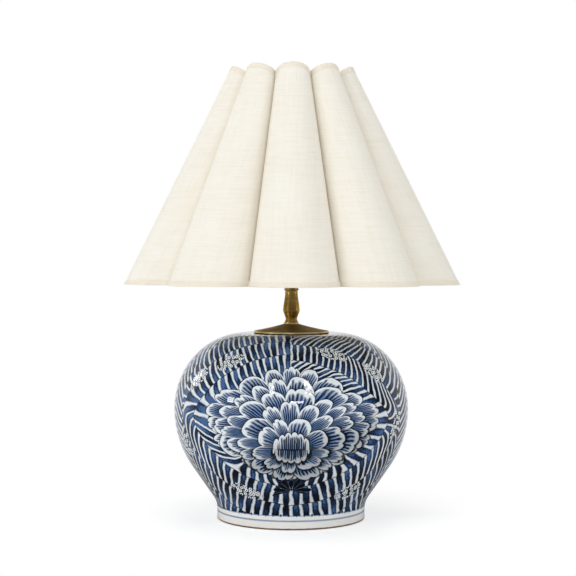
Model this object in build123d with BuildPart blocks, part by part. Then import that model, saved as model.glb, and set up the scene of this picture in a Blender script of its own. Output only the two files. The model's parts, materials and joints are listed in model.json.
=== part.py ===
from build123d import *
import os
from math import acos, atan, atan2, cos, degrees, hypot, pi, radians, sin, sqrt, tan

# Ceramic table lamp: a squat painted jar, a brass cap and spindle, a harp and a ten-lobed linen shade.
# Units are millimetres. +Z is up, the origin is the centre of the jar's foot on the table,
# and the front of the lamp faces -Y.

# Fits
THREAD_FIT = 0.05  # radial gap where a thread is drawn as a plain cylinder
ROD_FIT = 0.3  # radial gap of a plain hole over the rod
TURN_FIT = 0.08  # radial gap of a pin that turns in its hole
SLIDE_FIT = 0.25  # radial gap of a piece that slides over another
SEAT_GAP = 0.02  # gap between curved faces that lie on each other

# Jar
JAR_DIAMETER = 280.0
JAR_HEIGHT = 221.5
JAR_WALL = 7.0
BELLY_HEIGHT = 131.0  # height of the widest circle
SHOULDER_FLAT_R = 55.0  # where the flat top turns into the shoulder
FLANK_ARC_R = 118.0  # arc below the belly, which runs into the straight flank
FOOT_DIAMETER = 176.6
FOOT_BAND_HEIGHT = 20.0  # where the flank would meet the upright foot band
FOOT_BLEND_R = 30.0  # concave blend between the flank and the foot band
FOOT_RING_WIDTH = 12.0
FOOT_RECESS = 12.0  # hollow under the floor, inside the foot ring
FOOT_EDGE_R = 1.5
FLOOR_THICKNESS = 8.0
MOUTH_DIAMETER = 64.0

# Cord bush in the back of the jar
CORD_HOLE_HEIGHT = 37.0  # height of the hole's centre on the outer face
CORD_HOLE_R = 5.5
CORD_BORE_R = 3.6
BUSH_FLANGE_R = 8.5
BUSH_FLANGE_THICKNESS = 2.4
BUSH_BITE = 1.5  # how far the flanges' blanks reach into the wall before it is cut out of them

# Rod and the stack that clamps it to the jar
ROD_R = 4.8
ROD_BORE_R = 3.5
ROD_BELOW_NUT = 1.0
ROD_SLOT_LENGTH = 22.0  # side slot where the cord enters the rod
ROD_SLOT_WIDTH = 6.5
ROD_SLOT_HEIGHT = 45.0
NUT_ACROSS_FLATS = 15.0
NUT_THICKNESS = 5.0
NUT_CHAMFER = 0.6
BASE_GASKET_R = 20.0
BASE_GASKET_THICKNESS = 2.0
BASE_WASHER_R = 24.0
BASE_WASHER_THICKNESS = 1.6
DISC_THICKNESS = 8.0
DISC_EDGE_R = 1.0

# Brass cap on the jar's mouth
CAP_DIAMETER = 90.0
CAP_HEIGHT = 10.5
CAP_HUB_R = 10.0
CAP_WALL = 1.2
CAP_BEAD_R = 1.3  # rolled rim
CAP_SAG = 1.1  # how far the cone's face is hollowed
CAP_GASKET_WIDTH = 5.0
CAP_GASKET_THICKNESS = 0.8

# Turned brass spindle between the cap and the lamp holder
RING_R = 9.2
RING_HEIGHT = 2.0
RING_EDGE_R = 0.9
SPINDLE_HEIGHT = 40.3
SPINDLE_FOOT_R = 8.0
SPINDLE_WAIST_R = 6.8
SPINDLE_BULGE_R = 9.8
SPINDLE_NECK_R = 7.4
SPINDLE_RIM_R = 9.0
SPINDLE_WAIST_HEIGHT = 4.0  # above the spindle's own foot
SPINDLE_BULGE_HEIGHT = 13.6
SPINDLE_NECK_HEIGHT = 36.0
SPINDLE_RIM_THICKNESS = 1.6
NECK_WASHER_R = 7.6
NECK_WASHER_THICKNESS = 1.2

# Harp, its saddle and its sleeves
SADDLE_THICKNESS = 1.6
SADDLE_WIDTH = 12.0
SADDLE_SPAN = 58.0  # between the two upright pins
SADDLE_ARM_HEIGHT = 15.0
SADDLE_BEND_R = 3.0
SADDLE_PIN_HEIGHT = 9.0
HARP_WIRE_R = 1.8
HARP_HEIGHT = 232.0  # from the saddle's underside to the wire's top line
HARP_LEG_HEIGHT = 38.0  # straight lower legs, where the sleeves slide
HARP_CORNER_HALF_WIDTH = 62.0
HARP_LEG_BEND_R = 70.0
HARP_CORNER_R = 43.0
HARP_BUTT_GAP = 0.2
HARP_PAD_LENGTH = 15.0  # flattened top of the bow, drilled for the swivel
HARP_PAD_WIDTH = 9.0
HARP_PAD_THICKNESS = 3.0
SLEEVE_HEIGHT = 20.0
SLEEVE_WALL = 1.4
SWIVEL_PIN_R = 2.4
SWIVEL_HEAD_R = 3.8
SWIVEL_HEAD_THICKNESS = 1.4
SWIVEL_FLANGE_R = 6.5
SWIVEL_FLANGE_THICKNESS = 2.2
SWIVEL_PLAY = 0.1  # end play of the swivel on the pad
STUD_R = 3.1
STUD_HEIGHT = 13.0
FINIAL_HEIGHT = 24.0
FINIAL_BASE_R = 6.5
FINIAL_NECK_R = 4.6
FINIAL_BALL_R = 6.8

# Lamp holder
HOLDER_CAP_R = 17.0
HOLDER_CAP_WALL = 0.8
HOLDER_CAP_NECK_R = 7.5
HOLDER_CAP_NECK_HEIGHT = 6.0
HOLDER_CAP_CONE_HEIGHT = 6.0
HOLDER_CAP_RIM_HEIGHT = 9.0
ROD_INTO_CAP = 6.0
SHELL_WALL = 0.6
SHELL_HEIGHT = 45.0
SHELL_INTO_CAP = 7.0
LINER_WALL = 0.6
LINER_SHORTER = 2.0  # the liner stops this far inside each end of the shell
HOLDER_FIT = 0.2  # radial gap between the holder's nested tubes
BODY_HEIGHT = 21.0
BODY_FLAT = 11.0  # distance of the terminal flats from the axis
BODY_FLAT_HEIGHT = 9.0
TERMINAL_HEAD_R = 3.0
TERMINAL_HEAD_THICKNESS = 1.8
TERMINAL_SHANK_R = 1.5
TERMINAL_SHANK_LENGTH = 5.0
SCREW_SLOT = 0.7  # width and depth of a screwdriver slot
SCREW_SHELL_WALL = 0.4
SCREW_SHELL_HEIGHT = 24.0
SCREW_SHELL_HOLE_R = 6.5  # hole in its floor around the centre contact
CONTACT_WIDTH = 6.0
CONTACT_THICKNESS = 0.6
CONTACT_RISE = 2.6
CONTACT_HALF_LENGTH = 5.0
SET_SCREW_R = 1.5
SET_SCREW_LENGTH = 3.4
SWITCH_HEIGHT = 15.0  # switch axis above the holder's inner floor
SWITCH_SHAFT_R = 2.4
SWITCH_SHAFT_LENGTH = 20.0
SWITCH_BURIED = 8.0  # length of the shaft inside the body
SWITCH_HOLE_GAP = 0.8  # radial gap of the hole in shell and liner
KNOB_R = 5.6
KNOB_LENGTH = 14.0
KNOB_STANDOFF = 1.5
KNOB_FLUTES = 12
KNOB_FLUTE_R = 0.8
KNOB_EDGE = 1.0

# Bulb
BULB_CAP_R = 12.9
BULB_CAP_HEIGHT = 22.0
BULB_THREAD_PITCH = 3.6
BULB_THREAD_DEPTH = 0.5
BULB_FIT = 0.25  # radial gap of the bulb's cap in the screw shell
BULB_CAP_WALL = 0.6
BULB_INSULATOR_HEIGHT = 2.6
BULB_TIP_R = 4.0
BULB_TIP_HEIGHT = 1.6
BULB_COLLAR_HEIGHT = 16.0
BULB_COLLAR_R = 17.0
BULB_R = 30.0
BULB_GLASS_HEIGHT = 68.0
BULB_GLASS_WALL = 1.0

# Shade
LOBES = 10
SHADE_BOTTOM_DIAMETER = 406.0
SHADE_TOP_DIAMETER = 159.0  # across the lobes, at the height of the top edge's valleys
SHADE_HEIGHT = 245.5  # at the valleys
SHADE_ARCH = 10.4  # how far each lobe's top edge rises above the valleys
SHADE_DROP = 16.5  # from the top edge's valleys down to the spider's hub
LINEN_THICKNESS = 0.8
LINING_THICKNESS = 0.5
SEAM_GAP = 0.16  # between neighbouring panels
BINDING_WIDTH = 5.0
BINDING_THICKNESS = 0.5
RING_WIRE_R = 1.3
RING_WIRE_GAP = 0.3  # between the ring wire and the lining
TOP_RING_DROP = 4.5
BOTTOM_RING_RISE = 3.0
HUB_R = 12.0
HUB_THICKNESS = 1.6
ARMS = 5
ARM_EVERY = LOBES // ARMS  # an arm reaches every second valley

# Heights of the stack on the lamp's axis, from the table up
FLOOR_TOP = FOOT_RECESS + FLOOR_THICKNESS
BASE_GASKET_Z = FOOT_RECESS - BASE_GASKET_THICKNESS
BASE_WASHER_Z = BASE_GASKET_Z - BASE_WASHER_THICKNESS
BASE_NUT_Z = BASE_WASHER_Z - NUT_THICKNESS
ROD_BOTTOM = BASE_NUT_Z - ROD_BELOW_NUT
DISC_Z = JAR_HEIGHT - DISC_THICKNESS
CAP_TOP = JAR_HEIGHT + CAP_HEIGHT
RING_TOP = CAP_TOP + RING_HEIGHT
SPINDLE_TOP = RING_TOP + SPINDLE_HEIGHT
SADDLE_Z = SPINDLE_TOP + NECK_WASHER_THICKNESS
HOLDER_Z = SADDLE_Z + SADDLE_THICKNESS
ROD_TOP = HOLDER_Z + ROD_INTO_CAP
HOLDER_FLOOR = HOLDER_Z + HOLDER_CAP_NECK_HEIGHT + HOLDER_CAP_CONE_HEIGHT
HOLDER_CAP_TOP = HOLDER_FLOOR + HOLDER_CAP_RIM_HEIGHT
SHELL_Z = HOLDER_CAP_TOP - SHELL_INTO_CAP
BODY_TOP = HOLDER_FLOOR + BODY_HEIGHT
SWITCH_Z = HOLDER_FLOOR + SWITCH_HEIGHT
CONTACT_TOP = BODY_TOP + CONTACT_RISE
BULB_TIP_Z = CONTACT_TOP + SEAT_GAP
BULB_CAP_Z = BULB_TIP_Z + BULB_TIP_HEIGHT + BULB_INSULATOR_HEIGHT
BULB_COLLAR_Z = BULB_CAP_Z + BULB_CAP_HEIGHT
BULB_GLASS_Z = BULB_COLLAR_Z + BULB_COLLAR_HEIGHT
SADDLE_SHOULDER = SADDLE_Z + SADDLE_ARM_HEIGHT
HARP_FOOT = SADDLE_SHOULDER + SADDLE_PIN_HEIGHT + HARP_BUTT_GAP
HARP_TOP = SADDLE_Z + HARP_HEIGHT - HARP_WIRE_R
PAD_TOP = HARP_TOP + HARP_PAD_THICKNESS / 2
HUB_Z = PAD_TOP + SWIVEL_PLAY + SWIVEL_FLANGE_THICKNESS + SEAT_GAP
FINIAL_Z = HUB_Z + HUB_THICKNESS + SEAT_GAP
SHADE_TOP = HUB_Z + SHADE_DROP
SHADE_BOTTOM = SHADE_TOP - SHADE_HEIGHT
SHADE_CUT_TOP = SHADE_TOP + 2 * SHADE_ARCH  # the sheets are drawn up to here, then cut to the arches

# Radii that follow from the sizes above
ROD_HOLE_R = ROD_R + ROD_FIT
THREAD_HOLE_R = ROD_R + THREAD_FIT
SHELL_R = HOLDER_CAP_R - HOLDER_CAP_WALL - HOLDER_FIT
LINER_R = SHELL_R - SHELL_WALL - HOLDER_FIT
BODY_R = LINER_R - LINER_WALL - HOLDER_FIT
HALF_LOBE = pi / LOBES
FRONT_ANGLE = -90.0  # the middle of the front lobe faces -Y
LOBE_STEP = 360.0 / LOBES
SHEET_THICKNESS = LINEN_THICKNESS + SEAT_GAP + LINING_THICKNESS
SHADE_LEAN = atan((SHADE_BOTTOM_DIAMETER - SHADE_TOP_DIAMETER) / 2 / SHADE_HEIGHT)
RING_INSET = SHEET_THICKNESS + (RING_WIRE_R + RING_WIRE_GAP) / cos(SHADE_LEAN)


def save(piece, name):
    """Label a finished piece and write it as its own STEP file."""
    piece.part.label = name
    export_step(piece.part, f"parts/{name}.step")


def polar(radius, angle):
    """A point at a radius and an angle in degrees."""
    return (radius * cos(radians(angle)), radius * sin(radians(angle)))


def tangent_touch(centre, radius, point):
    """Angle in degrees and place where the line from an outside point below touches a circle."""
    across, up = point[0] - centre[0], point[1] - centre[1]
    angle = degrees(atan2(up, across) + acos(radius / hypot(across, up)))
    touch_r, touch_z = polar(radius, angle)
    return angle, (centre[0] + touch_r, centre[1] + touch_z)


def flank_ends(inset, corner_z):
    """The belly arc's end angle, the arc's end point and the corner of the straight flank below it.

    The flank is the tangent from the corner above the foot band to the belly arc. An inset draws the
    same lines that far inside the jar's outer face.
    """
    centre = (JAR_DIAMETER / 2 - FLANK_ARC_R, BELLY_HEIGHT)
    corner = (FOOT_DIAMETER / 2 - inset, corner_z)
    angle, touch = tangent_touch(centre, FLANK_ARC_R - inset, corner)
    return angle, touch, corner


def jar_half(inset, corner_z, bottom_z):
    """Half section of the jar, closed on the axis and drawn inset from the outer face."""
    angle, touch, corner = flank_ends(inset, corner_z)
    top = JAR_HEIGHT - inset
    shoulder_width = JAR_DIAMETER / 2 - SHOULDER_FLAT_R - inset
    shoulder_height = top - BELLY_HEIGHT
    arc_centre = (JAR_DIAMETER / 2 - FLANK_ARC_R, BELLY_HEIGHT)
    lower = [touch, corner]
    if corner_z > bottom_z:
        lower.append((corner[0], bottom_z))
    with BuildSketch(Plane.XZ) as half:
        with BuildLine():
            shoulder_centre = (SHOULDER_FLAT_R, BELLY_HEIGHT)
            EllipticalCenterArc(shoulder_centre, shoulder_width, shoulder_height, 0, arc_size=90)
            CenterArc(arc_centre, FLANK_ARC_R - inset, angle, -angle)
            Polyline(*lower, (0, bottom_z), (0, top), (SHOULDER_FLAT_R, top))
        make_face()
        if corner_z > bottom_z:
            at_corner = half.vertices().sort_by_distance(corner)[0]
            fillet(at_corner, radius=FOOT_BLEND_R)
    return half.sketch


def hex_nut(z):
    """A hexagon nut on the rod, with its lower face at height z."""
    with BuildPart() as nut:
        with BuildSketch(Plane.XY.offset(z)):
            RegularPolygon(NUT_ACROSS_FLATS / 2, 6, major_radius=False)
            Circle(THREAD_HOLE_R, mode=Mode.SUBTRACT)
        extrude(amount=NUT_THICKNESS)
        corners = nut.edges().filter_by(GeomType.LINE).filter_by(Axis.Z, reverse=True)
        chamfer(corners, length=NUT_CHAMFER)
    return nut


def flat_ring(inner_r, outer_r, z, thickness):
    """A flat washer or tube about the lamp's axis, with its lower face at height z."""
    with BuildPart() as ring:
        with BuildSketch(Plane.XY.offset(z)):
            Circle(outer_r)
            Circle(inner_r, mode=Mode.SUBTRACT)
        extrude(amount=thickness)
    return ring


def thread_waves(edge_r, low, high, side):
    """Points of a rolled thread's outline, waving outwards (side 1) or inwards (side -1) from edge_r."""
    turns = round((high - low) / BULB_THREAD_PITCH)
    step = (high - low) / (2 * turns)
    depth = side * BULB_THREAD_DEPTH
    return [(edge_r + depth * (index % 2), low + index * step) for index in range(2 * turns + 1)]


def shade_peak(z):
    """Radius of the lobes' outermost line at height z."""
    share = (z - SHADE_BOTTOM) / SHADE_HEIGHT
    return (SHADE_BOTTOM_DIAMETER + share * (SHADE_TOP_DIAMETER - SHADE_BOTTOM_DIAMETER)) / 2


def lobe_arc(z):
    """Distance of a lobe's arc centre from the axis, and the arc's radius, at height z.

    Each lobe is a half circle whose ends are the valleys that it shares with its neighbours.
    """
    centre_r = shade_peak(z) / (1 + tan(HALF_LOBE))
    return centre_r, centre_r * tan(HALF_LOBE)


def lobe_strip(z, outer_inset, inner_inset):
    """Section at height z of the lobe on +X, between two insets from the shade's outer face."""
    centre_r, arc_r = lobe_arc(z)
    with BuildSketch(Plane.XY.offset(z)) as strip:
        with BuildLine():
            for inset in (outer_inset, inner_inset):
                CenterArc((centre_r, 0), arc_r - inset, -90, 180)
            for side in (-1, 1):
                at_valley = [
                    (centre_r - inset * cos(HALF_LOBE), side * (arc_r - inset * sin(HALF_LOBE)))
                    for inset in (outer_inset, inner_inset)
                    if inset > 0
                ]
                Polyline(
                    (centre_r, side * (arc_r - outer_inset)),
                    *at_valley,
                    (centre_r, side * (arc_r - inner_inset)),
                )
        make_face()
    return strip.sketch


def lobe_panel(low_z, high_z, outer_inset, inner_inset):
    """One lobe's sheet between two heights, kept half a seam gap inside its two valley planes."""
    apex = SEAM_GAP / 2 / sin(HALF_LOBE)
    reach = SHADE_BOTTOM_DIAMETER
    with BuildPart() as panel:
        loft([lobe_strip(z, outer_inset, inner_inset) for z in (low_z, high_z)], ruled=True)
        with BuildSketch(Plane.XY.offset(low_z)):
            with BuildLine():
                far_x, far_y = apex + reach * cos(HALF_LOBE), reach * sin(HALF_LOBE)
                Polyline((apex, 0), (far_x, far_y), (far_x, -far_y), close=True)
            make_face()
        extrude(amount=high_z - low_z, mode=Mode.INTERSECT)
    return panel


def above_top_edge(shift):
    """Half section of everything above the arched top edge, moved up or down by shift.

    The arches are the cut of an upright cone that opens upwards through the valleys and the peaks.
    """
    centre_r, _ = lobe_arc(SHADE_TOP)
    valley_r = centre_r / cos(HALF_LOBE)
    tilt = SHADE_ARCH / (shade_peak(SHADE_TOP + SHADE_ARCH) - valley_r)
    far_r = SHADE_TOP_DIAMETER
    low_z = SHADE_TOP + shift - valley_r * tilt
    high_z = low_z + far_r * tilt
    with BuildSketch(Plane.XZ) as half:
        with BuildLine():
            Polyline((0, low_z), (far_r, high_z), (0, high_z), close=True)
        make_face()
    return half.sketch


def around_shade(panel):
    """Ten separate copies of a panel, the first one facing the front."""
    with BuildPart() as panels:
        for index in range(LOBES):
            add(panel.part, rotation=(0, 0, FRONT_ANGLE + index * LOBE_STEP))
    return panels


def ring_wire(z):
    """A wire ring at height z that follows the lobes, with a small arc round each valley."""
    centre_r, arc_r = lobe_arc(z)
    valley_r = centre_r / cos(HALF_LOBE)
    with BuildPart() as ring:
        with BuildLine(Plane.XY.offset(z)) as path:
            for index in range(LOBES):
                middle = FRONT_ANGLE + index * LOBE_STEP
                valley = middle + LOBE_STEP / 2
                CenterArc(polar(centre_r, middle), arc_r - RING_INSET, middle - 90, 180)
                CenterArc(polar(valley_r, valley), RING_INSET, middle + 90 + LOBE_STEP, 180 - LOBE_STEP)
        bent = path.wire()
        with BuildSketch(Plane(origin=bent @ 0, z_dir=bent % 0)):
            Circle(RING_WIRE_R)
        sweep(path=bent)
    return ring


os.makedirs("parts", exist_ok=True)

# Jar: a hollow thrown body with a foot ring, a drilled floor, an open mouth and a cord hole at the back
flank_angle, flank_top, flank_corner = flank_ends(0, FOOT_BAND_HEIGHT)
flank_rise = (flank_top[1] - flank_corner[1]) / (flank_top[0] - flank_corner[0])
cord_r = flank_corner[0] + (CORD_HOLE_HEIGHT - flank_corner[1]) / flank_rise
cord_out = Vector(0, cos(radians(flank_angle)), sin(radians(flank_angle)))
cord_plane = Plane(origin=(0, cord_r, CORD_HOLE_HEIGHT), x_dir=(1, 0, 0), z_dir=cord_out)
foot_inner_r = FOOT_DIAMETER / 2 - FOOT_RING_WIDTH
with BuildPart() as jar:
    revolve(jar_half(0, FOOT_BAND_HEIGHT, 0), axis=Axis.Z)
    revolve(jar_half(JAR_WALL, FLOOR_TOP, FLOOR_TOP), axis=Axis.Z, mode=Mode.SUBTRACT)
    with BuildSketch():
        Circle(foot_inner_r)
    extrude(amount=FOOT_RECESS, mode=Mode.SUBTRACT)
    with BuildSketch():
        Circle(ROD_HOLE_R)
    extrude(amount=FLOOR_TOP, mode=Mode.SUBTRACT)
    with BuildSketch(Plane.XY.offset(JAR_HEIGHT)):
        Circle(MOUTH_DIAMETER / 2)
    extrude(amount=-JAR_WALL, mode=Mode.SUBTRACT)
    with BuildSketch(cord_plane):
        Circle(CORD_HOLE_R)
    extrude(amount=2 * JAR_WALL, both=True, mode=Mode.SUBTRACT)
    foot_edges = jar.edges().filter_by(GeomType.CIRCLE).group_by(Axis.Z)[0]
    fillet(foot_edges, radius=FOOT_EDGE_R)
save(jar, "jar")

# Rubber bush in the cord hole: a flange on each face of the wall, shaped to it
bush_depth = JAR_WALL + BUSH_FLANGE_THICKNESS
with BuildPart() as cord_bush:
    with BuildSketch(cord_plane.offset(-BUSH_BITE)):
        Circle(BUSH_FLANGE_R)
    extrude(amount=BUSH_BITE + BUSH_FLANGE_THICKNESS)
    outer_face = cord_bush.faces().sort_by(Axis(cord_plane.origin, cord_out))[-1]
    fillet(outer_face.edges(), radius=BUSH_FLANGE_THICKNESS / 2)
    with BuildSketch(cord_plane.offset(-bush_depth)):
        Circle(BUSH_FLANGE_R)
    extrude(amount=BUSH_BITE + BUSH_FLANGE_THICKNESS)
    with BuildSketch(cord_plane.offset(-bush_depth)):
        Circle(CORD_HOLE_R - SEAT_GAP)
    extrude(amount=bush_depth)
    add(jar.part, mode=Mode.SUBTRACT)
    with BuildSketch(cord_plane.offset(BUSH_FLANGE_THICKNESS)):
        Circle(CORD_BORE_R)
    extrude(amount=-2 * bush_depth, mode=Mode.SUBTRACT)
save(cord_bush, "cord_bush")

# Threaded rod through the jar, with a side slot where the cord goes in
with BuildPart() as lamp_rod:
    with BuildSketch(Plane.XY.offset(ROD_BOTTOM)):
        Circle(ROD_R)
        Circle(ROD_BORE_R, mode=Mode.SUBTRACT)
    extrude(amount=ROD_TOP - ROD_BOTTOM)
    with BuildSketch(Plane(origin=(0, 0, ROD_SLOT_HEIGHT), x_dir=(0, 0, 1), z_dir=(0, 1, 0))):
        SlotOverall(ROD_SLOT_LENGTH, ROD_SLOT_WIDTH)
    extrude(amount=ROD_HOLE_R, mode=Mode.SUBTRACT)
save(lamp_rod, "lamp_rod")

# Gasket, washer and nut under the jar's floor, which hold the rod down
base_gasket = flat_ring(ROD_HOLE_R, BASE_GASKET_R, BASE_GASKET_Z, BASE_GASKET_THICKNESS)
save(base_gasket, "base_gasket")
base_washer = flat_ring(ROD_HOLE_R, BASE_WASHER_R, BASE_WASHER_Z, BASE_WASHER_THICKNESS)
save(base_washer, "base_washer")
base_nut = hex_nut(BASE_NUT_Z)
save(base_nut, "base_nut")

# Wooden disc that centres the rod in the mouth, and the nut that carries it
disc_nut = hex_nut(DISC_Z - NUT_THICKNESS)
save(disc_nut, "disc_nut")
with BuildPart() as centring_disc:
    with BuildSketch(Plane.XY.offset(DISC_Z)):
        Circle(MOUTH_DIAMETER / 2 - ROD_FIT)
        Circle(ROD_HOLE_R, mode=Mode.SUBTRACT)
    extrude(amount=DISC_THICKNESS)
    disc_rims = centring_disc.edges().filter_by(GeomType.CIRCLE).group_by(SortBy.RADIUS)[-1]
    fillet(disc_rims, radius=DISC_EDGE_R)
save(centring_disc, "centring_disc")

# Gasket ring under the cap's rim
cap_gasket_r = CAP_DIAMETER / 2 - 2 * CAP_BEAD_R - ROD_FIT
cap_gasket = flat_ring(cap_gasket_r - CAP_GASKET_WIDTH, cap_gasket_r, JAR_HEIGHT, CAP_GASKET_THICKNESS)
save(cap_gasket, "cap_gasket")

# Spun cap: a thin hollowed cone with a rolled rim that stands on the jar
cap_rim_r = CAP_DIAMETER / 2 - CAP_BEAD_R
cap_rim_z = JAR_HEIGHT + 2 * CAP_BEAD_R
with BuildPart() as vase_cap:
    with BuildSketch(Plane.XZ):
        with BuildLine():
            for drop in (0, CAP_WALL):
                Line((ROD_HOLE_R, CAP_TOP - drop), (CAP_HUB_R, CAP_TOP - drop))
                SagittaArc((CAP_HUB_R, CAP_TOP - drop), (cap_rim_r, cap_rim_z - drop), -CAP_SAG)
            Line((ROD_HOLE_R, CAP_TOP), (ROD_HOLE_R, CAP_TOP - CAP_WALL))
            Line((cap_rim_r, cap_rim_z), (cap_rim_r, cap_rim_z - CAP_WALL))
        make_face()
        with Locations((cap_rim_r, JAR_HEIGHT + CAP_BEAD_R)):
            Circle(CAP_BEAD_R)
    revolve(axis=Axis.Z)
save(vase_cap, "vase_cap")

# Thin turned ring between the cap and the spindle
with BuildPart() as seating_ring:
    add(flat_ring(ROD_HOLE_R, RING_R, CAP_TOP, RING_HEIGHT).part)
    ring_rims = seating_ring.edges().filter_by(GeomType.CIRCLE).group_by(SortBy.RADIUS)[-1]
    fillet(ring_rims, radius=RING_EDGE_R)
save(seating_ring, "seating_ring")

# Turned spindle: foot, waist, bulge, neck and flared rim, each drawn into the next with upright ends
spindle_turns = [
    (SPINDLE_FOOT_R, RING_TOP),
    (SPINDLE_WAIST_R, RING_TOP + SPINDLE_WAIST_HEIGHT),
    (SPINDLE_BULGE_R, RING_TOP + SPINDLE_BULGE_HEIGHT),
    (SPINDLE_NECK_R, RING_TOP + SPINDLE_NECK_HEIGHT),
]
spindle_rim_z = SPINDLE_TOP - SPINDLE_RIM_THICKNESS
with BuildPart() as neck_spindle:
    with BuildSketch(Plane.XZ):
        with BuildLine():
            for (low_r, low_z), (high_r, high_z) in zip(spindle_turns, spindle_turns[1:]):
                middle_z = (low_z + high_z) / 2
                Bezier((low_r, low_z), (low_r, middle_z), (high_r, middle_z), (high_r, high_z))
            Bezier(spindle_turns[-1], (SPINDLE_NECK_R, spindle_rim_z), (SPINDLE_RIM_R, spindle_rim_z))
            Polyline(
                (SPINDLE_RIM_R, spindle_rim_z),
                (SPINDLE_RIM_R, SPINDLE_TOP),
                (ROD_HOLE_R, SPINDLE_TOP),
                (ROD_HOLE_R, RING_TOP),
                spindle_turns[0],
            )
        make_face()
    revolve(axis=Axis.Z)
save(neck_spindle, "neck_spindle")

neck_washer = flat_ring(ROD_HOLE_R, NECK_WASHER_R, SPINDLE_TOP, NECK_WASHER_THICKNESS)
save(neck_washer, "neck_washer")

# Saddle: a bent strip clamped on the rod, with an upright pin at each end for the harp's legs
half_span = SADDLE_SPAN / 2
saddle_line_z = SADDLE_Z + SADDLE_THICKNESS / 2
with BuildPart() as harp_saddle:
    with BuildSketch(Plane.XZ):
        with BuildLine():
            FilletPolyline(
                (-half_span, SADDLE_SHOULDER),
                (-half_span, saddle_line_z),
                (half_span, saddle_line_z),
                (half_span, SADDLE_SHOULDER),
                radius=SADDLE_BEND_R,
            )
        trace(line_width=SADDLE_THICKNESS)
    extrude(amount=SADDLE_WIDTH / 2, both=True)
    with BuildSketch(Plane.XY.offset(SADDLE_Z)):
        Circle(ROD_HOLE_R)
    extrude(amount=SADDLE_THICKNESS, mode=Mode.SUBTRACT)
    with BuildSketch(Plane.XY.offset(SADDLE_SHOULDER)):
        with Locations((-half_span, 0), (half_span, 0)):
            Circle(HARP_WIRE_R)
    extrude(amount=SADDLE_PIN_HEIGHT)
save(harp_saddle, "harp_saddle")

# Harp bow: one bent wire over the bulb, flattened and drilled at the top for the swivel
harp_shoulder_z = HARP_FOOT + HARP_LEG_HEIGHT
with BuildPart() as harp_bow:
    with BuildLine(Plane.XZ) as bow_line:
        FilletPolyline(
            (-half_span, HARP_FOOT),
            (-half_span, harp_shoulder_z),
            (-HARP_CORNER_HALF_WIDTH, HARP_TOP),
            (HARP_CORNER_HALF_WIDTH, HARP_TOP),
            (half_span, harp_shoulder_z),
            (half_span, HARP_FOOT),
            radius=[HARP_LEG_BEND_R, HARP_CORNER_R, HARP_CORNER_R, HARP_LEG_BEND_R],
        )
    with BuildSketch(Plane(origin=(-half_span, 0, HARP_FOOT))):
        Circle(HARP_WIRE_R)
    sweep(path=bow_line.line)
    with Locations((0, 0, HARP_TOP)):
        Box(HARP_PAD_LENGTH, HARP_PAD_WIDTH, 3 * HARP_WIRE_R, mode=Mode.SUBTRACT)
        Box(HARP_PAD_LENGTH, HARP_PAD_WIDTH, HARP_PAD_THICKNESS)
        Cylinder(SWIVEL_PIN_R + TURN_FIT, 3 * HARP_WIRE_R, mode=Mode.SUBTRACT)
save(harp_bow, "harp_bow")

# Sleeves that lock the harp's legs on the saddle's pins
sleeve_bore_r = HARP_WIRE_R + SLIDE_FIT
for side, name in ((-1, "left_sleeve"), (1, "right_sleeve")):
    with BuildPart() as sleeve:
        with BuildSketch(Plane(origin=(side * half_span, 0, SADDLE_SHOULDER + SEAT_GAP))):
            Circle(sleeve_bore_r + SLEEVE_WALL)
            Circle(sleeve_bore_r, mode=Mode.SUBTRACT)
        extrude(amount=SLEEVE_HEIGHT)
        sleeve_rims = sleeve.edges().filter_by(GeomType.CIRCLE).group_by(SortBy.RADIUS)[-1]
        chamfer(sleeve_rims, length=SLEEVE_WALL / 2)
    save(sleeve, name)

# Swivel in the harp's top: a headed pin below, a flange for the shade's hub and a threaded stud
pad_bottom = PAD_TOP - HARP_PAD_THICKNESS
swivel_foot = pad_bottom - SWIVEL_PLAY - SWIVEL_HEAD_THICKNESS
flange_z = PAD_TOP + SWIVEL_PLAY
with BuildPart() as harp_swivel:
    with BuildSketch(Plane.XY.offset(swivel_foot)):
        Circle(SWIVEL_HEAD_R)
    extrude(amount=SWIVEL_HEAD_THICKNESS)
    with BuildSketch(Plane.XY.offset(swivel_foot)):
        Circle(SWIVEL_PIN_R)
    extrude(amount=flange_z - swivel_foot)
    with BuildSketch(Plane.XY.offset(flange_z)):
        Circle(SWIVEL_FLANGE_R)
    extrude(amount=SWIVEL_FLANGE_THICKNESS)
    with BuildSketch(Plane.XY.offset(flange_z + SWIVEL_FLANGE_THICKNESS)):
        Circle(STUD_R)
    extrude(amount=STUD_HEIGHT)
save(harp_swivel, "harp_swivel")

# Finial: a turned knob on the stud, which clamps the shade's hub
stud_top = flange_z + SWIVEL_FLANGE_THICKNESS + STUD_HEIGHT
finial_hole_top = stud_top + THREAD_FIT
ball_z = FINIAL_Z + FINIAL_HEIGHT - FINIAL_BALL_R
ball_foot_z = ball_z - sqrt(FINIAL_BALL_R**2 - FINIAL_NECK_R**2)
finial_rise = (ball_foot_z - FINIAL_Z) / 2
with BuildPart() as finial:
    with BuildSketch(Plane.XZ):
        with BuildLine():
            Bezier(
                (FINIAL_BASE_R, FINIAL_Z),
                (FINIAL_BASE_R, FINIAL_Z + finial_rise),
                (FINIAL_NECK_R, FINIAL_Z + finial_rise),
                (FINIAL_NECK_R, ball_foot_z),
            )
            ThreePointArc(
                (FINIAL_NECK_R, ball_foot_z), (FINIAL_BALL_R, ball_z), (0, ball_z + FINIAL_BALL_R)
            )
            Polyline((0, ball_z + FINIAL_BALL_R), (0, FINIAL_Z), (FINIAL_BASE_R, FINIAL_Z))
        make_face()
    revolve(axis=Axis.Z)
    with BuildSketch(Plane.XY.offset(FINIAL_Z)):
        Circle(STUD_R + TURN_FIT)
    extrude(amount=finial_hole_top - FINIAL_Z, mode=Mode.SUBTRACT)
save(finial, "finial")

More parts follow.
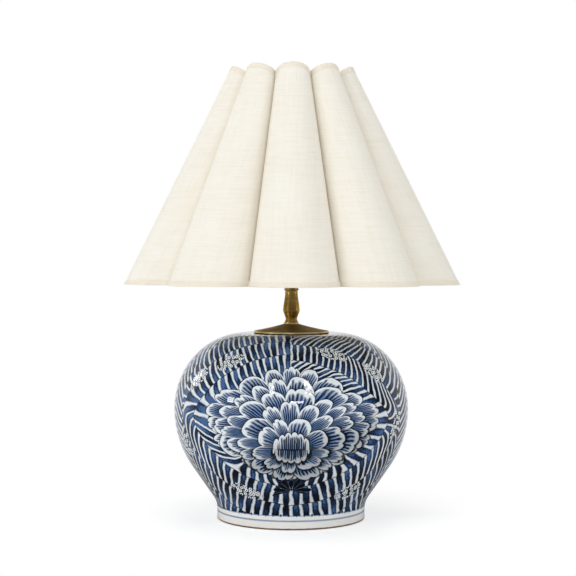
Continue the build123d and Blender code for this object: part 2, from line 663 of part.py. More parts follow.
# Lamp holder cap: screwed on the rod, it clamps the saddle and carries the holder
with BuildPart() as holder_cap:
    with BuildSketch(Plane.XZ):
        with BuildLine():
            Polyline(
                (THREAD_HOLE_R, HOLDER_Z),
                (HOLDER_CAP_NECK_R, HOLDER_Z),
                (HOLDER_CAP_NECK_R, HOLDER_Z + HOLDER_CAP_NECK_HEIGHT),
                (HOLDER_CAP_R, HOLDER_FLOOR),
                (HOLDER_CAP_R, HOLDER_CAP_TOP),
                (HOLDER_CAP_R - HOLDER_CAP_WALL, HOLDER_CAP_TOP),
                (HOLDER_CAP_R - HOLDER_CAP_WALL, HOLDER_FLOOR),
                (THREAD_HOLE_R, HOLDER_FLOOR),
                close=True,
            )
        make_face()
    revolve(axis=Axis.Z)
    with BuildSketch(Plane(origin=(0, 0, HOLDER_Z + HOLDER_CAP_NECK_HEIGHT / 2), z_dir=(0, 1, 0))):
        Circle(SET_SCREW_R + THREAD_FIT)
    extrude(amount=HOLDER_CAP_NECK_R, mode=Mode.SUBTRACT)
save(holder_cap, "holder_cap")

# Set screw in the cap's neck, which stops it turning on the rod
set_screw_plane = Plane(origin=(0, THREAD_HOLE_R, HOLDER_Z + HOLDER_CAP_NECK_HEIGHT / 2), z_dir=(0, 1, 0))
with BuildPart() as set_screw:
    with BuildSketch(set_screw_plane):
        Circle(SET_SCREW_R)
    extrude(amount=SET_SCREW_LENGTH)
    with BuildSketch(set_screw_plane.offset(SET_SCREW_LENGTH)):
        Rectangle(2 * SET_SCREW_R, SCREW_SLOT)
    extrude(amount=-SCREW_SLOT, mode=Mode.SUBTRACT)
save(set_screw, "set_screw")

# Holder shell and its insulating liner, each with a hole for the switch shaft
switch_plane = Plane(origin=(0, 0, SWITCH_Z), x_dir=(1, 0, 0), z_dir=(0, -1, 0))
for name, outer_r, wall, shorter in (
    ("holder_shell", SHELL_R, SHELL_WALL, 0),
    ("holder_liner", LINER_R, LINER_WALL, LINER_SHORTER),
):
    with BuildPart() as tube:
        add(flat_ring(outer_r - wall, outer_r, SHELL_Z + shorter, SHELL_HEIGHT - 2 * shorter).part)
        with BuildSketch(switch_plane):
            Circle(SWITCH_SHAFT_R + SWITCH_HOLE_GAP)
        extrude(amount=HOLDER_CAP_R, mode=Mode.SUBTRACT)
    save(tube, name)

# Holder body: the insulator that carries the switch, the terminals and the screw shell
terminal_z = HOLDER_FLOOR + BODY_FLAT_HEIGHT / 2
switch_end = BODY_R - SWITCH_BURIED
with BuildPart() as holder_body:
    with BuildSketch(Plane.XY.offset(HOLDER_FLOOR)):
        Circle(BODY_R)
    extrude(amount=BODY_HEIGHT)
    with BuildSketch(Plane.XY.offset(HOLDER_FLOOR)):
        Circle(BODY_R)
        Rectangle(2 * BODY_FLAT, 2 * BODY_R, mode=Mode.SUBTRACT)
        Circle(ROD_BORE_R)
    extrude(amount=BODY_FLAT_HEIGHT, mode=Mode.SUBTRACT)
    with BuildSketch(switch_plane.offset(switch_end - THREAD_FIT)):
        Circle(SWITCH_SHAFT_R + TURN_FIT)
    extrude(amount=BODY_R, mode=Mode.SUBTRACT)
    for side in (-1, 1):
        with BuildSketch(Plane(origin=(side * BODY_FLAT, 0, terminal_z), z_dir=(side, 0, 0))):
            Circle(TERMINAL_SHANK_R + THREAD_FIT)
        extrude(amount=-TERMINAL_SHANK_LENGTH - THREAD_FIT, mode=Mode.SUBTRACT)
save(holder_body, "holder_body")

# Terminal screws on the body's two flats
with BuildPart() as terminal_screws:
    for side in (-1, 1):
        head_plane = Plane(origin=(side * BODY_FLAT, 0, terminal_z), x_dir=(0, 1, 0), z_dir=(side, 0, 0))
        with BuildSketch(head_plane):
            Circle(TERMINAL_HEAD_R)
        extrude(amount=TERMINAL_HEAD_THICKNESS)
        with BuildSketch(head_plane):
            Circle(TERMINAL_SHANK_R)
        extrude(amount=-TERMINAL_SHANK_LENGTH)
        with BuildSketch(head_plane.offset(TERMINAL_HEAD_THICKNESS)):
            Rectangle(2 * TERMINAL_HEAD_R, SCREW_SLOT)
        extrude(amount=-SCREW_SLOT, mode=Mode.SUBTRACT)
save(terminal_screws, "terminal_screws")

# Screw shell: the thread is drawn as rolled rings, wide enough for the bulb's cap to lift straight out
shell_bore_r = BULB_CAP_R + BULB_FIT
screw_shell_top = BODY_TOP + SCREW_SHELL_HEIGHT
with BuildPart() as screw_shell:
    with BuildSketch(Plane.XZ):
        with BuildLine():
            thread_floor = BODY_TOP + SCREW_SHELL_WALL
            Spline(*thread_waves(shell_bore_r, thread_floor, screw_shell_top, 1))
            Spline(*thread_waves(shell_bore_r + SCREW_SHELL_WALL, thread_floor, screw_shell_top, 1))
            Line((shell_bore_r, screw_shell_top), (shell_bore_r + SCREW_SHELL_WALL, screw_shell_top))
            Polyline(
                (shell_bore_r, thread_floor),
                (SCREW_SHELL_HOLE_R, thread_floor),
                (SCREW_SHELL_HOLE_R, BODY_TOP),
                (shell_bore_r + SCREW_SHELL_WALL, BODY_TOP),
                (shell_bore_r + SCREW_SHELL_WALL, thread_floor),
            )
        make_face()
    revolve(axis=Axis.Z)
save(screw_shell, "screw_shell")

# Centre contact: a spring tongue that the bulb's tip presses on
with BuildPart() as centre_contact:
    with BuildSketch(Plane.XZ):
        with BuildLine():
            low, high = BODY_TOP + CONTACT_THICKNESS / 2, CONTACT_TOP - CONTACT_THICKNESS / 2
            FilletPolyline(
                (-CONTACT_HALF_LENGTH, low),
                (-CONTACT_RISE, low),
                (0, high),
                (CONTACT_HALF_LENGTH, high),
                radius=CONTACT_THICKNESS,
            )
        trace(line_width=CONTACT_THICKNESS)
    extrude(amount=CONTACT_WIDTH / 2, both=True)
save(centre_contact, "centre_contact")

# Switch: a turning shaft in the body and a fluted knob on it
with BuildPart() as switch_shaft:
    with BuildSketch(switch_plane.offset(switch_end)):
        Circle(SWITCH_SHAFT_R)
    extrude(amount=SWITCH_SHAFT_LENGTH)
save(switch_shaft, "switch_shaft")
knob_start = SHELL_R + KNOB_STANDOFF
with BuildPart() as switch_knob:
    with BuildSketch(switch_plane.offset(knob_start)):
        Circle(KNOB_R)
    extrude(amount=KNOB_LENGTH)
    knob_end = switch_knob.faces().sort_by(Axis.Y)[0]
    chamfer(knob_end.edges(), length=KNOB_EDGE)
    with BuildSketch(switch_plane.offset(knob_start)):
        with PolarLocations(KNOB_R, KNOB_FLUTES):
            Circle(KNOB_FLUTE_R)
    extrude(amount=KNOB_LENGTH, mode=Mode.SUBTRACT)
    with BuildSketch(switch_plane.offset(knob_start)):
        Circle(SWITCH_SHAFT_R + SEAT_GAP)
    extrude(amount=switch_end + SWITCH_SHAFT_LENGTH - knob_start + SEAT_GAP, mode=Mode.SUBTRACT)
save(switch_knob, "switch_knob")

# Bulb: tip, insulator, screw cap, collar and an opal envelope
with BuildPart() as bulb_contact:
    with BuildSketch(Plane.XY.offset(BULB_TIP_Z)):
        Circle(BULB_TIP_R)
    extrude(amount=BULB_TIP_HEIGHT)
    tip_rim = bulb_contact.edges().filter_by(GeomType.CIRCLE).sort_by(Axis.Z)[0]
    fillet(tip_rim, radius=BULB_TIP_HEIGHT / 2)
save(bulb_contact, "bulb_contact")
insulator_z = BULB_TIP_Z + BULB_TIP_HEIGHT
cap_inner_r = BULB_CAP_R - BULB_THREAD_DEPTH - BULB_CAP_WALL
with BuildPart() as bulb_insulator:
    with BuildSketch(Plane.XZ):
        with BuildLine():
            Polyline(
                (0, insulator_z),
                (BULB_TIP_R, insulator_z),
                (cap_inner_r - SEAT_GAP, BULB_CAP_Z),
                (cap_inner_r - SEAT_GAP, BULB_CAP_Z + BULB_INSULATOR_HEIGHT),
                (0, BULB_CAP_Z + BULB_INSULATOR_HEIGHT),
                close=True,
            )
        make_face()
    revolve(axis=Axis.Z)
save(bulb_insulator, "bulb_insulator")
with BuildPart() as bulb_cap:
    with BuildSketch(Plane.XZ):
        with BuildLine():
            Spline(*thread_waves(BULB_CAP_R, BULB_CAP_Z, BULB_COLLAR_Z, -1))
            Polyline(
                (BULB_CAP_R, BULB_COLLAR_Z),
                (cap_inner_r, BULB_COLLAR_Z),
                (cap_inner_r, BULB_CAP_Z),
                (BULB_CAP_R, BULB_CAP_Z),
            )
        make_face()
    revolve(axis=Axis.Z)
save(bulb_cap, "bulb_cap")
with BuildPart() as bulb_collar:
    with BuildSketch(Plane.XZ):
        with BuildLine():
            Line((0, BULB_COLLAR_Z), (BULB_CAP_R, BULB_COLLAR_Z))
            Bezier(
                (BULB_CAP_R, BULB_COLLAR_Z),
                (BULB_CAP_R, BULB_COLLAR_Z + BULB_COLLAR_HEIGHT / 2),
                (BULB_COLLAR_R, BULB_GLASS_Z),
            )
            Polyline((BULB_COLLAR_R, BULB_GLASS_Z), (0, BULB_GLASS_Z), (0, BULB_COLLAR_Z))
        make_face()
    revolve(axis=Axis.Z)
save(bulb_collar, "bulb_collar")
globe_z = BULB_GLASS_Z + BULB_GLASS_HEIGHT - BULB_R
globe_angle, globe_touch = tangent_touch((0, globe_z), BULB_R, (BULB_COLLAR_R, BULB_GLASS_Z))
with BuildPart() as bulb_glass:
    with BuildSketch(Plane.XZ):
        with BuildLine():
            Line((BULB_COLLAR_R, BULB_GLASS_Z), globe_touch)
            CenterArc((0, globe_z), BULB_R, globe_angle, 90 - globe_angle)
            Polyline((0, globe_z + BULB_R), (0, BULB_GLASS_Z), (BULB_COLLAR_R, BULB_GLASS_Z))
        make_face()
    revolve(axis=Axis.Z)
    offset(amount=-BULB_GLASS_WALL, openings=bulb_glass.faces().sort_by(Axis.Z)[0])
save(bulb_glass, "bulb_glass")

# Shade sheets: ten linen panels, ten lining panels and the binding tapes along both edges
for name, outer_inset, inner_inset in (
    ("shade_linen", 0, LINEN_THICKNESS),
    ("shade_lining", LINEN_THICKNESS + SEAT_GAP, SHEET_THICKNESS),
):
    with BuildPart() as panel:
        add(lobe_panel(SHADE_BOTTOM, SHADE_CUT_TOP, outer_inset, inner_inset).part)
        revolve(above_top_edge(0), axis=Axis.Z, mode=Mode.SUBTRACT)
    save(around_shade(panel), name)
bottom_tape = lobe_panel(SHADE_BOTTOM, SHADE_BOTTOM + BINDING_WIDTH, -BINDING_THICKNESS, -SEAT_GAP)
save(around_shade(bottom_tape), "shade_bottom_binding")
with BuildPart() as top_tape:
    add(lobe_panel(SHADE_TOP - 2 * BINDING_WIDTH, SHADE_CUT_TOP, -BINDING_THICKNESS, -SEAT_GAP).part)
    revolve(above_top_edge(0), axis=Axis.Z, mode=Mode.SUBTRACT)
    revolve(above_top_edge(-BINDING_WIDTH), axis=Axis.Z, mode=Mode.INTERSECT)
save(around_shade(top_tape), "shade_top_binding")

# Bottom ring: one wire bent to the lobes, just inside the lining
shade_bottom_ring = ring_wire(SHADE_BOTTOM + BOTTOM_RING_RISE)
save(shade_bottom_ring, "shade_bottom_ring")

# Spider: a drilled hub and five arms welded to the top ring
top_ring_z = SHADE_TOP - TOP_RING_DROP
valley_r = shade_peak(top_ring_z) / (1 + tan(HALF_LOBE)) / cos(HALF_LOBE)
arm_end = (valley_r - RING_INSET, top_ring_z)
arm_start = (HUB_R - RING_WIRE_R, HUB_Z + HUB_THICKNESS / 2)
arm_length = hypot(arm_end[0] - arm_start[0], arm_end[1] - arm_start[1])
with BuildPart() as shade_spider:
    add(ring_wire(top_ring_z).part)
    with BuildSketch(Plane.XY.offset(HUB_Z)):
        Circle(HUB_R)
        Circle(STUD_R + SLIDE_FIT, mode=Mode.SUBTRACT)
    extrude(amount=HUB_THICKNESS)
    for arm in range(ARMS):
        angle = radians(FRONT_ANGLE) + HALF_LOBE * (1 + 2 * ARM_EVERY * arm)
        start = Vector(arm_start[0] * cos(angle), arm_start[0] * sin(angle), arm_start[1])
        end = Vector(arm_end[0] * cos(angle), arm_end[0] * sin(angle), arm_end[1])
        with BuildSketch(Plane(origin=start, z_dir=end - start)):
            Circle(RING_WIRE_R)
        extrude(amount=arm_length)
save(shade_spider, "shade_spider")
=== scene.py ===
"""Ceramic table lamp: a painted jar, an antiqued brass neck and a scalloped linen shade on a harp.

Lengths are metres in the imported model's frame: +Z up, the origin on the table under the middle of the
jar, and -Y towards the front of the lamp.
"""

import functools
import json
import logging
import math
from collections.abc import Callable
from dataclasses import dataclass
from enum import Enum
from typing import Any

import bmesh
import bpy
import numpy as np
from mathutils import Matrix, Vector


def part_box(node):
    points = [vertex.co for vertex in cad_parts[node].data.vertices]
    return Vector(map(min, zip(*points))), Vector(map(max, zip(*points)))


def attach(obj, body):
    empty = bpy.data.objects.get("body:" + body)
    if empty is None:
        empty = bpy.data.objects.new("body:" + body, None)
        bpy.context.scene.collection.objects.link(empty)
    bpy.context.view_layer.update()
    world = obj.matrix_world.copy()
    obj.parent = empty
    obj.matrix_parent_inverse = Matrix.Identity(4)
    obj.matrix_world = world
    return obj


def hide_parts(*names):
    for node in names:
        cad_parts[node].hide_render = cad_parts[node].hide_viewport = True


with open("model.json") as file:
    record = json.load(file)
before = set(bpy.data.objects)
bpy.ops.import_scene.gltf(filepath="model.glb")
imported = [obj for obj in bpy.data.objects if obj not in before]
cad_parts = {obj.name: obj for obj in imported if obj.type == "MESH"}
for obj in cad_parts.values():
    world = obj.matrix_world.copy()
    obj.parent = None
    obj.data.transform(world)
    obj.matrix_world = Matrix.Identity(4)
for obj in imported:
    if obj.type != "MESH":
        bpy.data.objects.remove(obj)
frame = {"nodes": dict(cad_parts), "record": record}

LOG = logging.getLogger("lamp")
TAU = 2 * math.pi
QUARTER = math.pi / 2
WELD = 1e-7
SEEDS_PER_RING = 40
Colour = tuple[float, float, float, float]
Point = tuple[float, float]
WHITE: Colour = (1.0, 1.0, 1.0, 1.0)


def paint(code: str) -> Colour:
    """Linear colour of a six-digit sRGB code.

    Args:
        code: red, green and blue as two hexadecimal digits each.

    Returns:
        Red, green, blue and an alpha of 1.
    """
    shares = [int(code[place:place + 2], 16) / 255 for place in (0, 2, 4)]
    linear = [s / 12.92 if s <= 0.04045 else ((s + 0.055) / 1.055) ** 2.4 for s in shares]
    return (linear[0], linear[1], linear[2], 1.0)


def operator(operation: str, reflected: bool = False) -> Callable[..., "Signal"]:
    """Make an operator of signals.

    Args:
        operation: the operation of the Math node that it adds.
        reflected: whether the signal is the right operand.

    Returns:
        A method that takes the signal and the other operand, where there is one.
    """

    def method(signal: "Signal", *others: Any) -> "Signal":
        """The operation on a signal and numbers or signals."""
        operands = (*others, signal) if reflected else (signal, *others)
        return signal.tree.math(operation, *operands)

    return method


class Signal:
    """An output socket of a shader tree; arithmetic on it adds Math nodes.

    A comparison gives 1 where it holds and 0 elsewhere.
    """

    def __init__(self, tree: "ShaderTree", socket: bpy.types.NodeSocket | None) -> None:
        """Keep the socket with its tree."""
        self.tree = tree
        self.socket = socket

    __add__ = operator("ADD")
    __radd__ = operator("ADD", reflected=True)
    __sub__ = operator("SUBTRACT")
    __rsub__ = operator("SUBTRACT", reflected=True)
    __mul__ = operator("MULTIPLY")
    __rmul__ = operator("MULTIPLY", reflected=True)
    __truediv__ = operator("DIVIDE")
    __rtruediv__ = operator("DIVIDE", reflected=True)
    __mod__ = operator("MODULO")
    __pow__ = operator("POWER")
    __abs__ = operator("ABSOLUTE")
    __lt__ = operator("LESS_THAN")
    __gt__ = operator("GREATER_THAN")
    floor = operator("FLOOR")
    sine = operator("SINE")
    root = operator("SQRT")


class ShaderTree:
    """The node tree of one material or world, written as expressions."""

    def __init__(self, owner: bpy.types.Material | bpy.types.World) -> None:
        """Start an empty tree.

        Args:
            owner: the material or world that it belongs to.
        """
        owner.use_nodes = True
        self.nodes = owner.node_tree.nodes
        self.links = owner.node_tree.links
        self.nodes.clear()

    def node(
        self,
        kind: str,
        settings: dict[str, Any] | None = None,
        inputs: dict[str | int, Any] | None = None,
        output: str | int = 0,
    ) -> Signal:
        """Add one node.

        Args:
            kind: the node's type without its ShaderNode prefix.
            settings: the node's own properties, set before its sockets.
            inputs: values or signals for its sockets, by name or place.
            output: the socket to hand back, by name or place.

        Returns:
            The chosen output.
        """
        made = self.nodes.new("ShaderNode" + kind)
        for name, value in (settings or {}).items():
            setattr(made, name, value)
        for name, value in (inputs or {}).items():
            if isinstance(value, Signal):
                self.links.new(value.socket, made.inputs[name])
            else:
                made.inputs[name].default_value = value
        return Signal(self, made.outputs[output] if made.outputs else None)

    def math(self, operation: str, *operands: Any) -> Signal:
        """Add one Math node on numbers or signals."""
        return self.node("Math", {"operation": operation}, dict(enumerate(operands)))

    def choose(self, low: Any, high: Any, share: Any) -> Signal:
        """Value between two others, by a share from 0 to 1."""
        return self.node("Mix", {"data_type": "FLOAT"}, {0: share, 2: low, 3: high})

    def tint(self, low: Any, high: Any, share: Any) -> Signal:
        """Colour between two others, given as codes or signals, by a share from 0 to 1."""
        low, high = (paint(part) if isinstance(part, str) else part for part in (low, high))
        return self.node("Mix", {"data_type": "RGBA"}, {0: share, 6: low, 7: high}, 2)

    def step(self, value: Any, low: float, high: float) -> Signal:
        """Smooth step from 0 at low to 1 at high."""
        inputs = {"Value": value, "From Min": low, "From Max": high}
        return self.node("MapRange", {"interpolation_type": "SMOOTHSTEP"}, inputs)

    def vector(self, x: Any, y: Any, z: Any = 0.0) -> Signal:
        """Vector from three values."""
        return self.node("CombineXYZ", None, {0: x, 1: y, 2: z})

    def split(self, vector: Signal) -> tuple[Signal, Signal, Signal]:
        """The three values of a vector."""
        parts = self.node("SeparateXYZ", None, {0: vector}).socket.node.outputs
        return Signal(self, parts[0]), Signal(self, parts[1]), Signal(self, parts[2])

    def scaled(self, vector: Signal, scale: tuple[float, float, float]) -> Signal:
        """Vector multiplied part by part."""
        return self.node("VectorMath", {"operation": "MULTIPLY"}, {0: vector, 1: scale})

    def noise(self, vector: Signal, size: float, detail: float = 2.0) -> Signal:
        """Cloudy noise around 0.5 whose patches are about size across."""
        inputs = {"Vector": vector, "Scale": 1 / size, "Detail": detail}
        return self.node("TexNoise", None, inputs)

    def chance(self, seed: Signal) -> tuple[Signal, Signal, Signal]:
        """Three steady random values from 0 to 1 for a whole number."""
        colour = self.node("TexWhiteNoise", {"noise_dimensions": "1D"}, {"W": seed}, "Color")
        return self.split(colour)

    def place(self) -> Signal:
        """Object coordinates."""
        return self.node("TexCoord", None, None, "Object")

    def ray(self, kind: str) -> Signal:
        """One for light paths of one kind, otherwise zero."""
        return self.node("LightPath", None, None, kind)

    def sight(self) -> Signal:
        """One for what the camera sees, straight or through glass, otherwise zero."""
        return self.math("MAXIMUM", self.ray("Is Camera Ray"), self.ray("Is Transmission Ray"))

    def bump(self, height: Signal, depth: float, strength: float = 1.0) -> Signal:
        """Normal of a surface raised by a height from 0 to 1 times depth."""
        inputs = {"Height": height, "Distance": depth, "Strength": strength}
        return self.node("Bump", None, inputs)

    def surface(self, **inputs: Any) -> None:
        """Close a material's tree with a Principled shader.

        Args:
            inputs: values or signals for its sockets, with underscores for spaces.
        """
        named = {name.replace("_", " "): value for name, value in inputs.items()}
        self.close(self.node("BsdfPrincipled", None, named))

    def close(self, shader: Signal, output: str = "OutputMaterial") -> None:
        """Link a shader to the tree's output."""
        self.node(output, None, {"Surface": shader})


@dataclass(frozen=True)
class Finish:
    """A surface finish; each kind writes its own shader."""

    name: str

    def build(self, tree: ShaderTree) -> None:
        """Write the shader into an empty tree."""
        raise NotImplementedError


@functools.cache
def material_of(finish: Finish) -> bpy.types.Material:
    """Material of a finish, made on first use.

    Args:
        finish: what the surface is finished with.

    Returns:
        The one material of that finish.
    """
    material = bpy.data.materials.new(finish.name)
    finish.build(ShaderTree(material))
    return material


@dataclass(frozen=True)
class Mottled(Finish):
    """A plain material whose colour, gloss and surface drift with a stretched noise.

    Args:
        light: colour code of the lighter patches.
        dark: colour code of the darker patches.
        grain: size of the patches.
        stretch: how many times longer the patches are along X, Y and Z.
        gloss: lowest and highest roughness.
        metallic: 1 for bare metal.
        relief: depth of the surface's unevenness.
        coat: weight of a clear coat.
    """

    light: str
    dark: str
    grain: float = 0.004
    stretch: tuple[float, float, float] = (1.0, 1.0, 1.0)
    gloss: Point = (0.35, 0.5)
    metallic: float = 0.0
    relief: float = 0.00005
    coat: float = 0.0

    def build(self, tree: ShaderTree) -> None:
        """Broad patches set the colour, and fine ones the gloss and the relief.

        Args:
            tree: the material's empty tree.
        """
        place = tree.scaled(tree.place(), tuple(1 / share for share in self.stretch))
        broad = tree.step(tree.noise(place, self.grain, 4.0), 0.3, 0.7)
        fine = tree.noise(place, self.grain / 6, 3.0)
        low, high = self.gloss
        tree.surface(
            Base_Color=tree.tint(self.light, self.dark, broad),
            Roughness=low + (high - low) * fine,
            Metallic=self.metallic,
            Coat_Weight=self.coat,
            Normal=tree.bump(fine, self.relief),
        )


@dataclass(frozen=True)
class AntiquedBrass(Finish):
    """Turned brass, browned in broad patches, with fine lathe lines round the axis.

    Args:
        bright: colour code of the clean metal.
        brown: colour code of the browned metal.
        edge: colour code at grazing angles, set as a painted reflection there: dark on the spindle for a
            dark room, greyer on the cap for the shade's lining.
        patch: size of the browned patches.
        line_pitch: distance between lathe lines.
        line_depth: depth of the lathe lines.
        metallic: 1 for bare metal, less under a dull film.
        polish: lowest roughness.
    """

    bright: str = "cfb068"
    brown: str = "9c7b3e"
    # dark, as a painted reflection of a dark room at grazing angles
    edge: str = "6a5530"
    patch: float = 0.016
    line_pitch: float = 0.0006
    line_depth: float = 0.00002
    metallic: float = 1.0
    polish: float = 0.20

    def build(self, tree: ShaderTree) -> None:
        """Noise browns the metal, and noise stretched round the axis draws the lathe lines.

        Args:
            tree: the material's empty tree.
        """
        place = tree.place()
        x, y, z = tree.split(place)
        radius = (x * x + y * y).root()
        turned = tree.noise(tree.vector(radius, z, 0.0), self.line_pitch, 2.0)
        patches = tree.noise(place, self.patch, 5.0)
        brown = tree.step(patches, 0.32, 0.68)
        worn = 0.7 * brown + 0.3 * tree.step(turned, 0.35, 0.7)
        tree.surface(
            Base_Color=tree.tint(self.bright, self.brown, worn),
            Metallic=self.metallic,
            Specular_Tint=paint(self.edge),
            Roughness=self.polish + 0.10 * worn + 0.06 * turned,
            Normal=tree.bump(turned, self.line_depth),
        )


@dataclass(frozen=True)
class SlubLinen(Finish):
    """Plain-woven linen with uneven threads and long slubs, on the piece's weave coordinates.

    Args:
        light: colour code of the thin places.
        dark: colour code of the thick places.
        valley_shade: colour code of the painted shade in the valleys between the lobes.
        valley_shade_span: distances from a valley where its soft painted shade starts and is full.
        seam_span: distances from a valley where its painted dark shadow line starts and is full.
        lobes: lobes of the shade.
        thread: width of a thread.
        slub_length: length of a thick place in a thread.
        cloud: size of the broad changes of tone.
        relief: depth of the weave.
        sheen: weight of the threads' sheen.
    """

    light: str = "faf7ed"
    dark: str = "f1e9d8"
    # painted shade in the valleys between the lobes
    valley_shade: str = "b09e82"
    valley_shade_span: Point = (0.008, 0.002)
    seam_span: Point = (0.0018, 0.0004)
    lobes: int = 10
    thread: float = 0.0008
    slub_length: float = 0.030
    cloud: float = 0.05
    relief: float = 0.00014
    sheen: float = 0.12

    def threads(self, tree: ShaderTree, along: Signal, across: Signal, seed: float) -> Signal:
        """Noise drawn out along one direction into threads."""
        drawn = tree.vector(along / self.slub_length, across / self.thread, seed)
        return tree.noise(drawn, 1.0, 2.0)

    def painted_valley_shade(self, tree: ShaderTree) -> Signal:
        """Painted shade in each valley: a dark shadow line in the fold, with a softer shade beside it.

        Args:
            tree: the material's nodes.

        Returns:
            Share of the painted valley shade.
        """
        x, y, _ = tree.split(tree.place())
        cells = tree.math("ARCTAN2", x, 0 - y) * (self.lobes / TAU)
        from_valley = abs(cells - cells.floor() - 0.5) * (TAU / self.lobes) * (x * x + y * y).root()
        # painted shade: a soft shade beside each valley and a dark shadow line in the fold itself
        shade_grey = tree.step(from_valley, *self.valley_shade_span)
        return 0.11 * shade_grey + 0.23 * tree.step(from_valley, *self.seam_span)

    def build(self, tree: ShaderTree) -> None:
        """Two sets of threads give the weave, and the thickest of them show as slubs.

        Args:
            tree: the material's empty tree.
        """
        weave = tree.node("UVMap", {"uv_map": "weave"})
        girth, slant, _ = tree.split(weave)
        warp = self.threads(tree, slant, girth, 1.5)
        weft = self.threads(tree, girth, slant, 7.5)
        slubs = tree.math("MAXIMUM", tree.step(warp, 0.62, 0.78), tree.step(weft, 0.58, 0.75))
        cloudy = tree.noise(weave, self.cloud, 3.0)
        tone = 0.45 * warp + 0.45 * weft + 0.25 * cloudy
        shade = tree.step(tone + 0.10 * slubs, 0.36, 0.95)
        colour = tree.tint(self.light, self.dark, shade)
        pitch = math.pi / self.thread
        checks = (girth * pitch).sine() * (slant * pitch).sine()
        height = 0.5 * warp + 0.5 * weft + 0.4 * slubs + 0.25 * checks
        tree.surface(
            # painted shade in the valleys between the lobes
            Base_Color=tree.tint(colour, self.valley_shade, self.painted_valley_shade(tree)),
            Roughness=0.78 + 0.14 * tone,
            Sheen_Weight=self.sheen,
            Normal=tree.bump(height, self.relief, 0.5),
        )


@dataclass(frozen=True)
class PetalRing:
    """One ring of petals round the flower's heart.

    Args:
        up: how far it reaches above its centre.
        side: how far it reaches to either side.
        down: how far it reaches below its centre.
        count: petals in the ring.
        bow: 2 for an oval outline, less for one that runs to points.
        finger: width of upright petals side by side, or 0 for petals that spread out.
        lift: height of its centre above the heart.
    """

    up: float
    side: float
    down: float
    count: int
    bow: float
    finger: float = 0.0
    lift: float = 0.0


@dataclass(frozen=True)
class StrokeLean:
    """Slant of the leaves' strokes, in strokes over one band, by the direction from the heart.

    A positive slant turns a stroke's outer end up, and a negative one turns it down. Directions are
    radians from straight up, and a span says where a slant starts and where it is full.
    """

    upright: float = 1.7
    upright_span: Point = (1.60, 1.05)
    swept: float = 2.5
    swept_span: Point = (1.30, 0.75)
    raised: float = 4.4
    flung: float = 1.6
    flung_back: float = 2.8
    flung_span: Point = (0.55, 1.00)
    hanging: float = 1.2
    hanging_span: Point = (2.20, 2.55)
    falling: float = 4.3
    below_span: Point = (1.30, 1.95)
    drooped: float = 1.9
    drooped_from: Point = (1.50, 1.80)
    drooped_to: Point = (2.50, 2.20)

    def build(self, tree: ShaderTree, turn: Signal, row: Signal, right: Signal) -> Signal:
        """Slant of the strokes of a band.

        Above on the left all strokes stand upright. Above on the right the nearest band is swept down,
        the second stands upright, and the third is flung down and then up again. Below, the strokes hang
        down, most of all in the outer bands, and on the left the nearest band droops to the flower.

        Args:
            tree: the material's nodes.
            turn: direction from the heart, the same to either side.
            row: number of the band, from 0 nearest the flower.
            right: 1 on the right half.

        Returns:
            The slant.
        """
        sine = turn.sine()
        outer = row > 0.5
        swept = -self.swept * tree.step(turn, *self.swept_span)
        flung = self.flung_back * tree.step(turn, *self.flung_span) - self.flung
        right_above = tree.choose(swept, tree.choose(self.raised * sine, flung, row > 1.5), outer)
        left_above = self.upright * sine * tree.step(turn, *self.upright_span)
        above = tree.choose(left_above, right_above, right)
        hanging = self.hanging * tree.step(turn, *self.hanging_span)
        below = tree.choose(hanging, self.falling * sine * sine, outer)
        slant = tree.choose(above, 0 - below, tree.step(turn, *self.below_span))
        drooped = tree.step(turn, *self.drooped_from) * tree.step(turn, *self.drooped_to)
        return slant + self.drooped * drooped * (1 - right) * (1 - outer)


